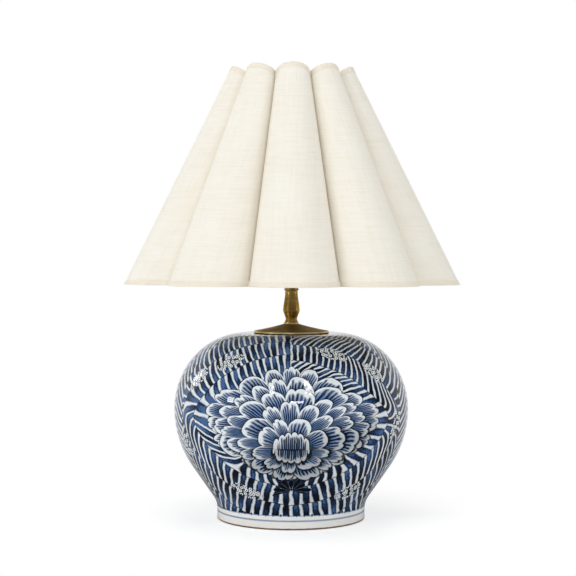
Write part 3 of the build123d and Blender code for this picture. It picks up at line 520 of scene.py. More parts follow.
@dataclass(frozen=True)
class PaintedGlaze(Finish):
    """Cobalt peony and feathered leaves under a clear glaze.

    The piece's painting coordinates are metres across from the front line, and metres up along the wall
    from the widest circle. Angles are taken round the flower's heart, from straight up. A span says where
    a tone starts and where it is full.
    """

    # The flower's rings and the edges of their petals.
    heart: float = -0.0325
    rings: tuple[PetalRing, ...] = (
        PetalRing(0.064, 0.112, 0.066, 19, 1.40, lift=0.032),
        PetalRing(0.060, 0.097, 0.062, 17, 1.50, lift=0.024),
        PetalRing(0.054, 0.082, 0.056, 15, 1.60, lift=0.016),
        PetalRing(0.046, 0.064, 0.0520, 13, 1.85, lift=0.008),
        PetalRing(0.037, 0.044, 0.0310, 9, 1.9),
        PetalRing(0.020, 0.021, 0.0165, 11, 2.3, finger=0.0072),
    )
    flower_edge: float = 0.98
    flower_flat: float = 1.15
    ring_blend: float = 0.010
    ring_stagger: float = 0.37
    petal_sway: tuple[tuple[float, float, float], ...] = ((0.10, 3, 1.9), (0.06, 5, 0.7))
    petal_reach: float = 0.95
    petal_vary: float = 0.10
    petal_round: float = 0.0095
    petal_square: float = 2.6
    full_round: float = 0.03
    lobe_depth: float = 0.0036
    lobe_square: float = 3.0
    full_lobes: float = 0.05
    more_lobes: float = 2.7
    finger_shift: float = 2.5
    # The petals' combed lines and their outlines.
    comb: float = 8.5
    comb_span: Point = (0.82, 0.25)
    heart_comb: float = 3.0
    rim_span: Point = (0.0003, 0.0014)
    white_tip: float = 0.0008
    tip_vary: float = 0.0046
    wash_span: Point = (0.0, 0.0040)
    base_span: Point = (0.006, 0.017)
    shadow_span: Point = (0.0065, 0.0005)
    seam_span: Point = (0.0007, 0.0002)
    seam_tip: Point = (0.001, 0.004)
    petal_line: Point = (0.0017, 0.0007)
    outline: Point = (0.0018, 0.0007)
    # Painted shade over the lower right of the flower.
    dim_slope: float = 0.28
    dim_span: Point = (-0.030, 0.014)
    heart_line: Point = (0.0017, 0.0006)
    heart_half: Point = (0.017, 0.012)
    # The leaves' bands and strokes.
    band: float = 0.027
    band_start: float = 0.007
    band_step: float = 0.009
    band_step_span: Point = (1.7, 1.2)
    lean: StrokeLean = StrokeLean()
    strokes: float = 26.0
    strokes_more: float = 7.0
    stroke_half: float = 0.325
    stroke_vary: float = 0.06
    stroke_taper: float = 0.18
    stroke_edge: Point = (-0.085, 0.060)
    # where the painted light on the upper strokes starts and is full
    upper_light_span: Point = (2.0, 1.4)
    stroke_tones: tuple[Point, ...] = ((0.10, 0.38), (0.28, 0.72), (0.62, 1.02))
    rib: Point = (0.0007, 0.0003)
    side_turn: float = 0.01
    side_band: float = 0.215
    side_pitch: float = 0.0098
    side_slant: float = 4.2
    # The berries and the calyx.
    berry: float = 0.0056
    cluster: Point = (0.020, 0.0085)
    berry_spots: tuple[Point, ...] = (
        (-0.76, 0.033), (-1.19, 0.046), (0.47, 0.032), (1.06, 0.039),
        (-2.68, 0.043), (2.56, 0.053), (1.65, 0.041), (-1.83, 0.060),
    )
    calyx_drop: float = 0.0580
    calyx_cell: float = 0.48
    calyx_length: float = 0.0180
    calyx_vary: float = 0.006
    calyx_fan: Point = (1.95, 1.90)
    # The colours.
    white: str = "f2f8fc"
    # painted shade laid over the petals towards the lower right of the flower
    shade_grey: str = "bfc5c9"
    wash: str = "6b90c0"
    blue: str = "24467a"
    pale: str = "4a6a98"
    leaf: str = "1f3c66"
    deep: str = "08162b"
    navy: str = "02060f"
    foot_white: str = "fcfbf6"
    foot_blue: str = "5f83b4"
    foot_clay: str = "7d6048"
    # The foot, by height.
    foot_top: float = 0.0165
    foot_top_span: Point = (0.0004, -0.0004)
    foot_top_line: Point = (0.0007, 0.0003)
    foot_dots: int = 62
    dot_rise: float = 0.0006
    dot_weights: Point = (36.0, 330000.0)
    foot_line: float = 0.0105
    foot_line_span: Point = (0.0014, 0.0006)
    bare_span: Point = (0.0024, 0.0017)
    # The brush's unsteadiness and the glaze.
    hand_size: float = 0.0030
    unsteady: float = 0.0036
    unsteady_scale: float = 70.0
    gloss: float = 0.05
    index: float = 1.28
    wave: float = 0.028
    wave_depth: float = 0.0004

    def polar(self, tree: ShaderTree, ring: PetalRing, across: Signal, rise: Signal) -> tuple[Signal, ...]:
        """Place round a ring's centre.

        The ring's outline is |x / side| ** bow + |y / reach| ** bow = 1, with its reach up or down.

        Args:
            tree: the material's nodes.
            ring: the ring of petals.
            across: metres to the right of the heart.
            rise: metres above the heart.

        Returns:
            Direction from straight up, distance as a share of the outline, and distance.
        """
        rise = rise - ring.lift
        reach = tree.choose(ring.down, ring.up, tree.step(rise, -self.ring_blend, self.ring_blend))
        share_x, share_y = across / ring.side, rise / reach
        share = (abs(share_x) ** ring.bow + abs(share_y) ** ring.bow) ** (1 / ring.bow) + 0.0001
        distance = (across * across + rise * rise).root()
        return tree.math("ARCTAN2", share_x, share_y), share, distance

    def petals(self, tree: ShaderTree, across: Signal, rise: Signal) -> dict[str, Signal]:
        """Rings of overlapping petals, drawn from the outermost to the innermost.

        A petal's edge is its ring's outline, drawn in at its sides by a power of the distance from its
        middle, and again between its one to three lobes.

        Args:
            tree: the material's nodes.
            across: metres to the right of the heart.
            rise: metres above the heart.

        Returns:
            The topmost petal's cell with its place across as the fraction, its depth from the tip and
            from the side, and the distance to the nearest edge that lies over this place.
        """
        spot: Signal | float = -1.0
        from_tip: Signal | float = 0.0
        from_side: Signal | float = 0.0
        gap: Signal | float = 1.0
        for order, ring in enumerate(self.rings):
            angle, share, distance = self.polar(tree, ring, across, rise)
            if ring.finger:
                cells = across / ring.finger + self.finger_shift + ring.count / 2 * (rise > 0.0)
                half_width = ring.finger / 2
            else:
                swayed = angle
                for wide, waves, shift in self.petal_sway:
                    swayed = swayed + wide * (angle * waves + shift * order).sine()
                cells = (swayed / TAU + 0.5) * ring.count + self.ring_stagger * order
                half_width = distance * (TAU / ring.count / 2)
            cell = cells.floor()
            place = cells - cell
            aside = abs(place - 0.5) * 2
            seed = cell % ring.count + SEEDS_PER_RING * order
            size, lobes, _ = tree.chance(seed)
            drawn_in = ring.finger / 2 or self.petal_round * min(1.0, ring.up / self.full_round)
            depth = (self.petal_reach + self.petal_vary * size - share) * (distance / share)
            depth = depth - drawn_in * aside ** self.petal_square
            if not ring.finger:
                lobe = place * (1 + (lobes * self.more_lobes).floor())
                notch = self.lobe_depth * min(1.0, ring.up / self.full_lobes)
                depth = depth - notch * (abs(lobe - lobe.floor() - 0.5) * 2) ** self.lobe_square
            inside = depth > 0.0
            spot = tree.choose(spot, seed + place * 0.98 + 0.01, inside)
            from_tip = tree.choose(from_tip, depth, inside)
            from_side = tree.choose(from_side, (1 - aside) * half_width, inside)
            gap = tree.math("MINIMUM", gap, 0 - depth) + 10 * inside
        return {"spot": spot, "tip": from_tip, "side": from_side, "gap": gap}

    def petal_colour(
        self, tree: ShaderTree, petals: dict[str, Signal], dim: Signal, hand: Signal,
    ) -> Signal:
        """White rim, combed blue lines towards the base, and a dark line round the petal in front.

        Args:
            tree: the material's nodes.
            petals: the topmost petal's place.
            dim: where painted shade falls over the petals, towards the lower right of the flower.
            hand: noise that frays the lines.

        Returns:
            The petals' colour.
        """
        cell = petals["spot"].floor()
        place = petals["spot"] - cell
        heart = cell > SEEDS_PER_RING * (len(self.rings) - 1) - 0.5
        combed = place * tree.choose(self.comb, self.heart_comb, heart) + 0.35 * hand
        line = combed.floor()
        start, tone, _ = tree.chance(line + cell * 17)
        aside = abs(combed - line - 0.5) * 2
        rim = tree.step(petals["side"] + 0.0006 * hand, *self.rim_span)
        depth = petals["tip"] - self.white_tip - self.tip_vary * start + 0.0012 * hand
        washed = tree.step(depth, *self.wash_span) * rim
        core = tree.step(aside, *self.comb_span)
        base = tree.step(petals["tip"], *self.base_span)
        # painted shade: towards the lower right of the flower the petals turn greyer, and their lines
        # denser and thicker
        colour = tree.tint(self.white, self.wash, 0.05 * (1 - dim))
        colour = tree.tint(colour, self.shade_grey, dim)
        colour = tree.tint(colour, self.wash, washed * (0.50 + 0.42 * base))
        colour = tree.tint(colour, self.blue, washed * (0.12 + 0.62 * core + 0.24 * base))
        dense = 0.50 + 0.34 * tone + 0.14 * base + 0.34 * dim + 0.30 * heart
        colour = tree.tint(colour, self.deep, washed * core * dense)
        shaded = tree.step(petals["gap"], *self.shadow_span)
        colour = tree.tint(colour, self.deep, shaded * (0.35 + 0.3 * core) * washed)
        thin = 1 / (0.8 + 2.3 * dim + 0.8 * heart)
        seam = tree.step(petals["side"] * thin + 0.0003 * hand, *self.seam_span) * (0.75 + 0.2 * dim)
        seam = seam * tree.step(petals["tip"], *self.seam_tip)
        line_in_front = tree.step(petals["gap"] * thin + 0.0006 * hand, *self.petal_line)
        return tree.tint(colour, self.navy, tree.math("MAXIMUM", line_in_front * 0.9, seam))

    def leaves(
        self,
        tree: ShaderTree,
        angle: Signal,
        beyond: Signal,
        right: Signal,
        edge: Signal,
        up: Signal,
        hand: Signal,
    ) -> Signal:
        """Feathered brush strokes in bands round the flower, and in an upright leaf on each side.

        Round the flower a stroke is one step of the direction, slanted and a little bowed across its band.
        The side leaf's strokes rise from its spine and fall again in its outer band.

        Args:
            tree: the material's nodes.
            angle: direction from the heart.
            beyond: metres outside the flower's outline.
            right: 1 on the right half.
            edge: radians round the jar from the side leaf's spine.
            up: metres up along the wall.
            hand: noise that frays the strokes.

        Returns:
            The colour of the ground with its strokes and the bands' thin ribs.
        """
        turn = abs(angle)
        sine = turn.sine()
        stepped = self.band_step * right * tree.step(turn, *self.band_step_span)
        on_side = edge < 2 * self.side_band
        around = (beyond + self.band_start + stepped) / self.band
        bands = tree.choose(around, edge / self.side_band, on_side)
        row = bands.floor()
        along = bands - row
        off_middle = along - 0.5
        nearest = 1 - (row > 0.5)
        spread = (turn + 0.15 * sine + 0.05 * (turn * 2).sine()) / math.pi
        bowed = off_middle + 0.5 * off_middle * off_middle
        slant = self.lean.build(tree, turn, row, right)
        strokes = spread * (self.strokes + self.strokes_more * row) + slant * bowed
        feather = up / self.side_pitch + self.side_slant * (row - 0.5) * off_middle
        strokes = tree.choose(strokes, feather, on_side)
        cell = strokes.floor()
        size, tone, wet = tree.chance(cell + row * 90 + right * 1000 + on_side * 500)
        aside = abs(strokes - cell - 0.5)
        dabbed = 0.12 + 0.38 * tree.step(turn, *self.lean.swept_span) * right * nearest
        narrowed = 1 - self.stroke_taper * along * along - dabbed * (abs(off_middle) * 2) ** 4.0
        half = (self.stroke_half + self.stroke_vary * size) * narrowed
        inside = tree.step(half - aside + 0.09 * hand, *self.stroke_edge)
        pooled = tree.step(aside / half, 0.30, 0.95)
        wet_end = tree.step(tree.choose(along, 1 - along, wet > 0.6), 0.05, 0.95)
        dark = 0.06 + 0.34 * tone + 0.34 * pooled + 0.54 * wet_end + 0.7 * hand
        dark = dark - 0.34 * nearest * sine ** 10.0
        # painted light: strokes lighter on the upper left, where the light falls from, and darker on the
        # upper right
        dark = dark + (0.28 * right - 0.18) * tree.step(turn, *self.upper_light_span)
        stroke: Signal | str = self.pale
        for code, span in zip((self.leaf, self.deep, self.navy), self.stroke_tones):
            stroke = tree.tint(stroke, code, tree.step(dark, *span))
        ground = tree.tint(self.white, self.wash, 0.07 + 0.14 * size)
        end_gap = (0.5 - abs(off_middle)) * self.band
        rib = tree.step(end_gap + 0.0005 * hand, *self.rib)
        return tree.tint(tree.tint(ground, stroke, inside), self.navy, rib * 0.85)

    def berries(
        self, tree: ShaderTree, spot: Signal, angle: Signal, beyond: Signal, distance: Signal,
    ) -> tuple[Signal, Signal]:
        """Clusters of small ringed berries on the ribs.

        Args:
            tree: the material's nodes.
            spot: painting coordinates.
            angle: direction from the heart.
            beyond: metres outside the flower's outline.
            distance: metres from the outer ring's centre.

        Returns:
            Where the berries cover the leaves, and their colour.
        """
        cover: Signal | float = 0.0
        for place, out in self.berry_spots:
            along = (angle - place) * distance / self.cluster[0]
            aside = (beyond - out) / self.cluster[1]
            cover = tree.math("MAXIMUM", cover, tree.step(along * along + aside * aside, 1.1, 0.9))
        inputs = {"Vector": spot, "Scale": 1 / self.berry, "Randomness": 0.6}
        middle = tree.node("TexVoronoi", {"voronoi_dimensions": "2D"}, inputs, "Distance")
        skin = tree.tint(self.white, self.navy, tree.step(middle, 0.37, 0.44))
        skin = tree.tint(skin, self.deep, tree.step(middle, 0.19, 0.11))
        return cover * tree.step(middle, 0.58, 0.50), skin

    def calyx(self, tree: ShaderTree, across: Signal, up: Signal) -> tuple[Signal, Signal]:
        """Fan of small dark leaves under the flower, each a power of l (1 - l) wide along its length l.

        Args:
            tree: the material's nodes.
            across: metres to the right of the heart.
            up: metres up along the wall.

        Returns:
            Where its bare ground lies, and where its leaves do.
        """
        low = up - (self.heart - self.calyx_drop)
        angle = tree.math("ARCTAN2", across, low)
        cells = angle / self.calyx_cell + 0.5
        cell = cells.floor()
        reach, _, _ = tree.chance(cell + 300)
        length = (across * across + low * low).root() / (self.calyx_length + self.calyx_vary * reach)
        aside = abs(cells - cell - 0.5) * 2
        wide = 0.98 * (abs(length * (1 - length)) * 4 + 0.001) ** 0.6 + 0.4 * tree.step(length, 0.25, 0.1)
        inside = (length < 1.0) * tree.step(abs(angle), *self.calyx_fan)
        ground = tree.step(wide + 0.06 - aside, 0.0, 0.1) * inside
        return ground, tree.step(wide - aside, -0.06, 0.1) * inside

    def foot(self, tree: ShaderTree, colour: Signal, hand: Signal) -> tuple[Signal, Signal]:
        """White band under a row of dark dots, with one blue line above the bare clay edge.

        Args:
            tree: the material's nodes.
            colour: the painting's colour.
            hand: noise that frays the lines.

        Returns:
            The colour with the foot's bands laid over it, and where the clay is bare.
        """
        x, y, z = tree.split(tree.place())
        around = tree.math("ARCTAN2", x, y) * (self.foot_dots / TAU)
        dot = abs(around - around.floor() - 0.5)
        above = z - self.foot_top + 0.0006 * hand
        colour = tree.tint(colour, self.foot_white, tree.step(above, *self.foot_top_span))
        off_dot = above - self.dot_rise
        blot = dot * dot * self.dot_weights[0] + off_dot * off_dot * self.dot_weights[1]
        colour = tree.tint(colour, self.navy, tree.step(blot, 1.1, 0.6))
        colour = tree.tint(colour, self.wash, tree.step(abs(above), *self.foot_top_line) * 0.8)
        line = tree.step(abs(z - self.foot_line + 0.0004 * hand), *self.foot_line_span)
        colour = tree.tint(colour, self.foot_blue, line * 0.75)
        bare = tree.step(z + 0.0008 * hand, *self.bare_span)
        return tree.tint(colour, self.foot_clay, bare), bare

    def build(self, tree: ShaderTree) -> None:
        """Leaves first, then berries, the calyx, the flower and the foot's bands over them.

        Args:
            tree: the material's empty tree.
        """
        spot = tree.node("UVMap", {"uv_map": "painting"})
        inputs = {"Vector": spot, "Scale": self.unsteady_scale, "Detail": 1.5}
        shake_x, shake_y, _ = tree.split(tree.node("TexNoise", None, inputs, "Color"))
        flat_x, flat_y, _ = tree.split(spot)
        across = flat_x + self.unsteady * (shake_x - 0.5)
        up = flat_y + self.unsteady * (shake_y - 0.5)
        hand = tree.noise(spot, self.hand_size, 2.0) - 0.5
        rise = up - self.heart
        _, share, distance = self.polar(tree, self.rings[0], across, rise)
        angle = tree.math("ARCTAN2", across, (rise - self.rings[0].lift) * self.flower_flat)
        beyond = (share - self.flower_edge) * distance / share
        x, y, _ = tree.split(tree.place())
        edge = QUARTER - self.side_turn - abs(across) / (x * x + y * y).root()
        colour = self.leaves(tree, angle, beyond, across > 0.0, edge, up, hand)
        cover, skin = self.berries(tree, spot, angle, beyond, distance)
        colour = tree.tint(colour, skin, cover)
        ground, leaf = self.calyx(tree, across, up)
        colour = tree.tint(tree.tint(colour, self.wash, ground), self.navy, leaf)
        petals = self.petals(tree, across, rise)
        # painted shade over the flower, rising towards its lower right; it also thickens the outlines there
        dim = tree.step(self.dim_slope * across - rise, *self.dim_span)
        outline = tree.step(petals["gap"] / (1 + 0.7 * dim) + 0.0006 * hand, *self.outline)
        colour = tree.tint(colour, self.navy, outline * 0.9)
        colour = tree.tint(colour, self.petal_colour(tree, petals, dim, hand), petals["spot"] > -0.5)
        middle = tree.step(abs(rise + 0.002 * hand), *self.heart_line)
        middle = middle * tree.step(abs(across), *self.heart_half)
        colour = tree.tint(colour, self.navy, middle * 0.8)
        colour, bare = self.foot(tree, colour, hand)
        tree.surface(
            Base_Color=colour,
            Roughness=self.gloss + 0.03 * hand + 0.7 * bare,
            IOR=self.index,
            Normal=tree.bump(tree.noise(spot, self.wave, 2.0), self.wave_depth, 0.35),
        )


BRASS = AntiquedBrass("antiqued brass")
# the cap's copy of the brass: colours and edge greyed as a painted reflection of the shade's lining
LINING_REFLECTION_CAP_BRASS = AntiquedBrass("spun brass", bright="c4b28c", brown="917f5c", edge="b3a893", polish=0.30)
# worn brass with a painted highlight, for the upper part of the cap's bead and the ring's edge
WORN_AND_LIT_BRASS = AntiquedBrass(
    "rubbed brass", bright="f5de9f", brown="dcbb74", edge="f0dcaa", metallic=0.6, polish=0.36,
)
LINEN = SlubLinen("slub linen")
TAPE = SlubLinen("linen tape", light="f6efe0", dark="ece2cd", thread=0.0007, slub_length=0.012)
GLAZE = PaintedGlaze("painted glaze")
CLAY = Mottled("bare clay", "c9b79e", "a98f72", 0.006, gloss=(0.75, 0.9), relief=0.00015)
LINING = Mottled("shade lining", "f2efe8", "e9e4d8", 0.02, gloss=(0.5, 0.65))
WIRE = Mottled("white wire", "eeece6", "dedbd2", 0.003, gloss=(0.35, 0.5))
BARE_BRASS = Mottled("bare brass", "cfa65c", "b08a45", 0.006, gloss=(0.22, 0.36), metallic=1.0)
ZINC = Mottled("zinc plate", "c4c6c8", "9a9da0", 0.003, gloss=(0.3, 0.5), metallic=1.0)
NICKEL = Mottled("nickel", "cfcdc8", "b3b1ac", 0.004, gloss=(0.2, 0.34), metallic=1.0)
RUBBER = Mottled("rubber", "1c1c1d", "121213", 0.002, gloss=(0.6, 0.75), relief=0.0001)
BEECH = Mottled("beech", "cda877", "b48c5b", 0.003, (1.0, 12.0, 1.0), (0.5, 0.65), relief=0.0001)
FELT = Mottled("felt", "5c5a57", "454340", 0.0015, gloss=(0.9, 1.0), relief=0.0003)
FIBRE = Mottled("fibre board", "5a4a38", "44372a", 0.002, gloss=(0.7, 0.85), relief=0.0001)
BLACK = Mottled("black moulding", "1a1a1c", "0f0f11", 0.002, gloss=(0.2, 0.32))
COLLAR = Mottled("white moulding", "ecebe6", "e2e0d9", 0.006, gloss=(0.4, 0.5))
OPAL = Mottled("opal glass", "f4f3ee", "eeece4", 0.02, gloss=(0.12, 0.2), relief=0.00002, coat=0.6)


@dataclass
class Surface:
    """Points and quads of a piece, with optional coordinates for each point and finish for each quad."""

    points: np.ndarray
    quads: np.ndarray
    coordinates: np.ndarray | None = None
    finish_of_quad: np.ndarray | None = None


def grid_quads(rows: int, columns: int, rows_closed: bool, columns_closed: bool) -> np.ndarray:
    """Corner numbers of the quads of a grid whose points are stored row by row.

    Args:
        rows: points along the first direction.
        columns: points along the second direction.
        rows_closed: whether the last row joins the first.
        columns_closed: whether the last column joins the first.

    Returns:
        Four point numbers for each quad.
    """
    row = np.arange(rows if rows_closed else rows - 1)[:, None]
    column = np.arange(columns if columns_closed else columns - 1)[None, :]
    next_row, next_column = (row + 1) % rows, (column + 1) % columns
    corners = [
        row * columns + column,
        row * columns + next_column,
        next_row * columns + next_column,
        next_row * columns + column,
    ]
    return np.stack(corners, axis=-1).reshape(-1, 4)


def turned(profile: np.ndarray, segments: int, closed: bool) -> Surface:
    """Carry a profile of radii and heights round the lamp's axis.

    A point of radius r and height z goes to (r sin a, -r cos a, z) for each azimuth a from the front.

    Args:
        profile: radius and height of each point.
        segments: points round the axis.
        closed: whether the profile's last point joins its first.

    Returns:
        The turned surface.
    """
    azimuth = np.linspace(-math.pi, math.pi, segments, endpoint=False)
    radius, height = profile[:, :1], profile[:, 1:]
    x, y = radius * np.sin(azimuth), -radius * np.cos(azimuth)
    points = np.stack([x, y, np.broadcast_to(height, x.shape)], axis=-1).reshape(-1, 3)
    return Surface(points, grid_quads(len(profile), segments, closed, True))


def arc(centre: Point, radii: Point, start: float, end: float, count: int) -> np.ndarray:
    """Points of an upright ellipse's arc, between two angles in radians."""
    angle = np.linspace(start, end, count)
    return np.stack([centre[0] + radii[0] * np.cos(angle), centre[1] + radii[1] * np.sin(angle)], axis=1)


def curve(poles: list[Point], count: int) -> np.ndarray:
    """Points of a Bezier curve: the sum of each pole times its Bernstein share.

    Args:
        poles: the curve's control points.
        count: points along it.

    Returns:
        The points, from the first pole to the last.
    """
    share = np.linspace(0, 1, count)[:, None]
    order = len(poles) - 1
    weights = [math.comb(order, k) * share**k * (1 - share) ** (order - k) for k in range(order + 1)]
    return sum(weight * np.array(pole) for weight, pole in zip(weights, poles))


def make_piece(
    name: str,
    surface: Surface,
    finishes: list[Finish],
    nodes: list[str],
    coordinates_name: str = "",
    crease: float = math.radians(38),
) -> bpy.types.Object:
    """Make an object of a surface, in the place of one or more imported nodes.

    Args:
        name: the piece's name.
        surface: its points, quads and coordinates.
        finishes: its finishes, in the order that the quads name them.
        nodes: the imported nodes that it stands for.
        coordinates_name: the name of its coordinates.
        crease: edges that bend more than this stay sharp.

    Returns:
        The new object, riding on the nodes' body.
    """
    mesh = bpy.data.meshes.new(name)
    mesh.from_pydata(surface.points.tolist(), [], surface.quads.tolist())
    if surface.finish_of_quad is not None:
        mesh.polygons.foreach_set("material_index", surface.finish_of_quad.astype(np.int32))
    if surface.coordinates is not None:
        corner_points = np.zeros(len(mesh.loops), dtype=np.int32)
        mesh.loops.foreach_get("vertex_index", corner_points)
        layer = mesh.uv_layers.new(name=coordinates_name)
        layer.data.foreach_set("uv", surface.coordinates[corner_points].astype(np.float32).ravel())
    shell = bmesh.new()
    shell.from_mesh(mesh)
    bmesh.ops.remove_doubles(shell, verts=shell.verts, dist=WELD)
    bmesh.ops.dissolve_degenerate(shell, edges=shell.edges, dist=WELD)
    bmesh.ops.recalc_face_normals(shell, faces=shell.faces)
    shell.to_mesh(mesh)
    shell.free()
    mesh.shade_smooth()
    mesh.set_sharp_from_angle(angle=crease)
    piece = bpy.data.objects.new(name, mesh)
    bpy.context.scene.collection.objects.link(piece)
    for finish in finishes:
        mesh.materials.append(material_of(finish))
    settle(piece, nodes)
    return piece


def settle(piece: bpy.types.Object, nodes: list[str]) -> None:
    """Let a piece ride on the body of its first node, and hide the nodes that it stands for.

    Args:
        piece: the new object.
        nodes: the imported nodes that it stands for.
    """
    first = nodes[0]
    bodies = frame["record"]["behaviour"]["bodies"]
    body = next(name for name, members in bodies.items() if first in members)
    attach(piece, body)
    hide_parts(*nodes)
    LOG.info("%s stands for %s on %s", piece.name, ", ".join(nodes), body)


@dataclass
class Jar:
    """Thrown jar with a foot ring, a drilled floor, an open mouth and a cord hole at the back."""

    height: float = 0.2215
    radius: float = 0.140
    wall: float = 0.007
    belly: float = 0.131
    flat_r: float = 0.055
    flank_arc: float = 0.118
    painting_turn: float = math.radians(-1.07)
    foot_r: float = 0.0883
    foot_band: float = 0.020
    foot_blend: float = 0.030
    foot_inner_r: float = 0.0763
    foot_edge: float = 0.0015
    recess: float = 0.012
    floor: float = 0.020
    rod_hole_r: float = 0.0051
    mouth_r: float = 0.032
    cord_hole_r: float = 0.0055
    segments: int = 256
    shoulder_steps: int = 64
    belly_steps: int = 40
    flank_steps: int = 14
    blend_steps: int = 16
    edge_steps: int = 6
    top_steps: int = 8
    drill_sides: int = 48

    def flank(self, inset: float, corner_z: float) -> tuple[float, Point]:
        """Straight flank that leaves the belly's arc as a tangent.

        Args:
            inset: distance inside the outer face.
            corner_z: height of the flank's lower corner.

        Returns:
            Angle where the arc meets the tangent from the lower corner, and that corner.
        """
        corner = (self.foot_r - inset, corner_z)
        across, up = corner[0] - (self.radius - self.flank_arc), corner[1] - self.belly
        angle = math.atan2(up, across) + math.acos((self.flank_arc - inset) / math.hypot(across, up))
        return angle, corner

    def wall_line(self, inset: float, corner_z: float) -> np.ndarray:
        """Shoulder and belly from the flat top down to the flank.

        The shoulder is a quarter of an ellipse and the belly an arc, both drawn in by the inset.

        Args:
            inset: distance inside the outer face.
            corner_z: height of the flank's lower corner.

        Returns:
            Radius and height of each point.
        """
        angle, _ = self.flank(inset, corner_z)
        shoulder = (self.radius - self.flat_r - inset, self.height - self.belly - inset)
        belly = self.flank_arc - inset
        return np.concatenate([
            arc((self.flat_r, self.belly), shoulder, QUARTER, 0, self.shoulder_steps),
            arc((self.radius - self.flank_arc, self.belly), (belly, belly), 0, angle, self.belly_steps)[1:],
        ])

    def outer_line(self) -> np.ndarray:
        """Glazed face from the mouth over the shoulder, belly, flank and foot band to the foot's edge.

        Returns:
            Radius and height of each point.
        """
        angle, corner = self.flank(0, self.foot_band)
        tangent = self.foot_blend * math.tan(-angle / 2)
        blend_centre = (corner[0] + self.foot_blend, corner[1] - tangent)
        blend_radii = (self.foot_blend, self.foot_blend)
        line = self.wall_line(0, self.foot_band)
        blend = arc(blend_centre, blend_radii, math.pi + angle, math.pi, self.blend_steps)
        steps = np.linspace(0, 1, self.flank_steps)[1:-1, None]
        edge_centre = (self.foot_r - self.foot_edge, self.foot_edge)
        top_radii = np.linspace(self.mouth_r, self.flat_r, self.top_steps)
        return np.concatenate([
            np.stack([top_radii, np.full(self.top_steps, self.height)], axis=1)[:-1],
            line,
            line[-1] + steps * (blend[0] - line[-1]),
            blend,
            arc(edge_centre, (self.foot_edge, self.foot_edge), 0, -QUARTER, self.edge_steps),
        ])

    def inner_line(self) -> np.ndarray:
        """Foot ring, recess, floor and inner wall, back up to the mouth.

        Returns:
            Radius and height of each point.
        """
        under = self.foot_inner_r + self.foot_edge
        low = [
            (under, 0.0),
            (self.foot_inner_r, self.foot_edge),
            (self.foot_inner_r, self.recess),
            (self.rod_hole_r, self.recess),
            (self.rod_hole_r, self.floor),
            (self.foot_r - self.wall, self.floor),
        ]
        inner = self.wall_line(self.wall, self.floor)[::-3]
        return np.concatenate([low, inner, [(self.mouth_r, self.height - self.wall)]])

    def painting_spot(self, outer: np.ndarray, rows: int) -> np.ndarray:
        """Metres across from the nearer flower's middle line, and up along the wall.

        The azimuth is folded at the sides, so the back carries the mirror image of the front.

        Args:
            outer: radius and height of each glazed point.
            rows: points of the whole profile.

        Returns:
            Painting coordinates for each point of the jar.
        """
        azimuth = np.linspace(-math.pi, math.pi, self.segments, endpoint=False)
        folded = np.arcsin(np.clip(np.sin(azimuth - self.painting_turn), -1, 1))
        lengths = np.concatenate([[0], np.cumsum(np.hypot(*np.diff(outer, axis=0).T))])
        widest = int(np.argmax(outer[:, 0]))
        spots = np.full((rows, self.segments, 2), -1.0)
        spots[: len(outer), :, 0] = outer[:, :1] * folded
        spots[: len(outer), :, 1] = (lengths[widest] - lengths)[:, None]
        return spots.reshape(-1, 2)

    def build(self) -> bpy.types.Object:
        """Turn the closed profile, glaze its outside and drill the cord hole.

        Returns:
            The jar.
        """
        outer, inner = self.outer_line(), self.inner_line()
        profile = np.concatenate([outer, inner])
        surface = turned(profile, self.segments, closed=True)
        surface.coordinates = self.painting_spot(outer, len(profile))
        bare_rows = np.arange(len(profile)) >= len(outer) - 1
        surface.finish_of_quad = np.repeat(bare_rows, self.segments).astype(np.int32)
        piece = make_piece("jar_glazed", surface, [GLAZE, CLAY], ["jar"], "painting")
        self.drill(piece)
        return piece

    def drill(self, piece: bpy.types.Object) -> None:
        """Cut the cord hole along the axis of the cord's mount.

        Args:
            piece: the jar.
        """
        mount = next(m for m in frame["record"]["mounts"] if m["name"] == "cord_inlet")
        drill = bpy.data.meshes.new("drill")
        cutter = bmesh.new()
        bmesh.ops.create_cone(
            cutter, cap_ends=True, segments=self.drill_sides,
            radius1=self.cord_hole_r, radius2=self.cord_hole_r, depth=6 * self.wall,
        )
        cutter.to_mesh(drill)
        cutter.free()
        turn = Vector(mount["axis"]).to_track_quat("Z", "Y").to_matrix().to_4x4()
        turn.translation = Vector(mount["pos_m"])
        drill.transform(turn)
        tool = bpy.data.objects.new("drill", drill)
        bpy.context.scene.collection.objects.link(tool)
        cut = piece.modifiers.new("cord_hole", "BOOLEAN")
        cut.object = tool
        cut.operation = "DIFFERENCE"
        cut.solver = "EXACT"
        depsgraph = bpy.context.evaluated_depsgraph_get()
        drilled = bpy.data.meshes.new_from_object(piece.evaluated_get(depsgraph), depsgraph=depsgraph)
        piece.modifiers.clear()
        piece.data = drilled
        bpy.data.objects.remove(tool)


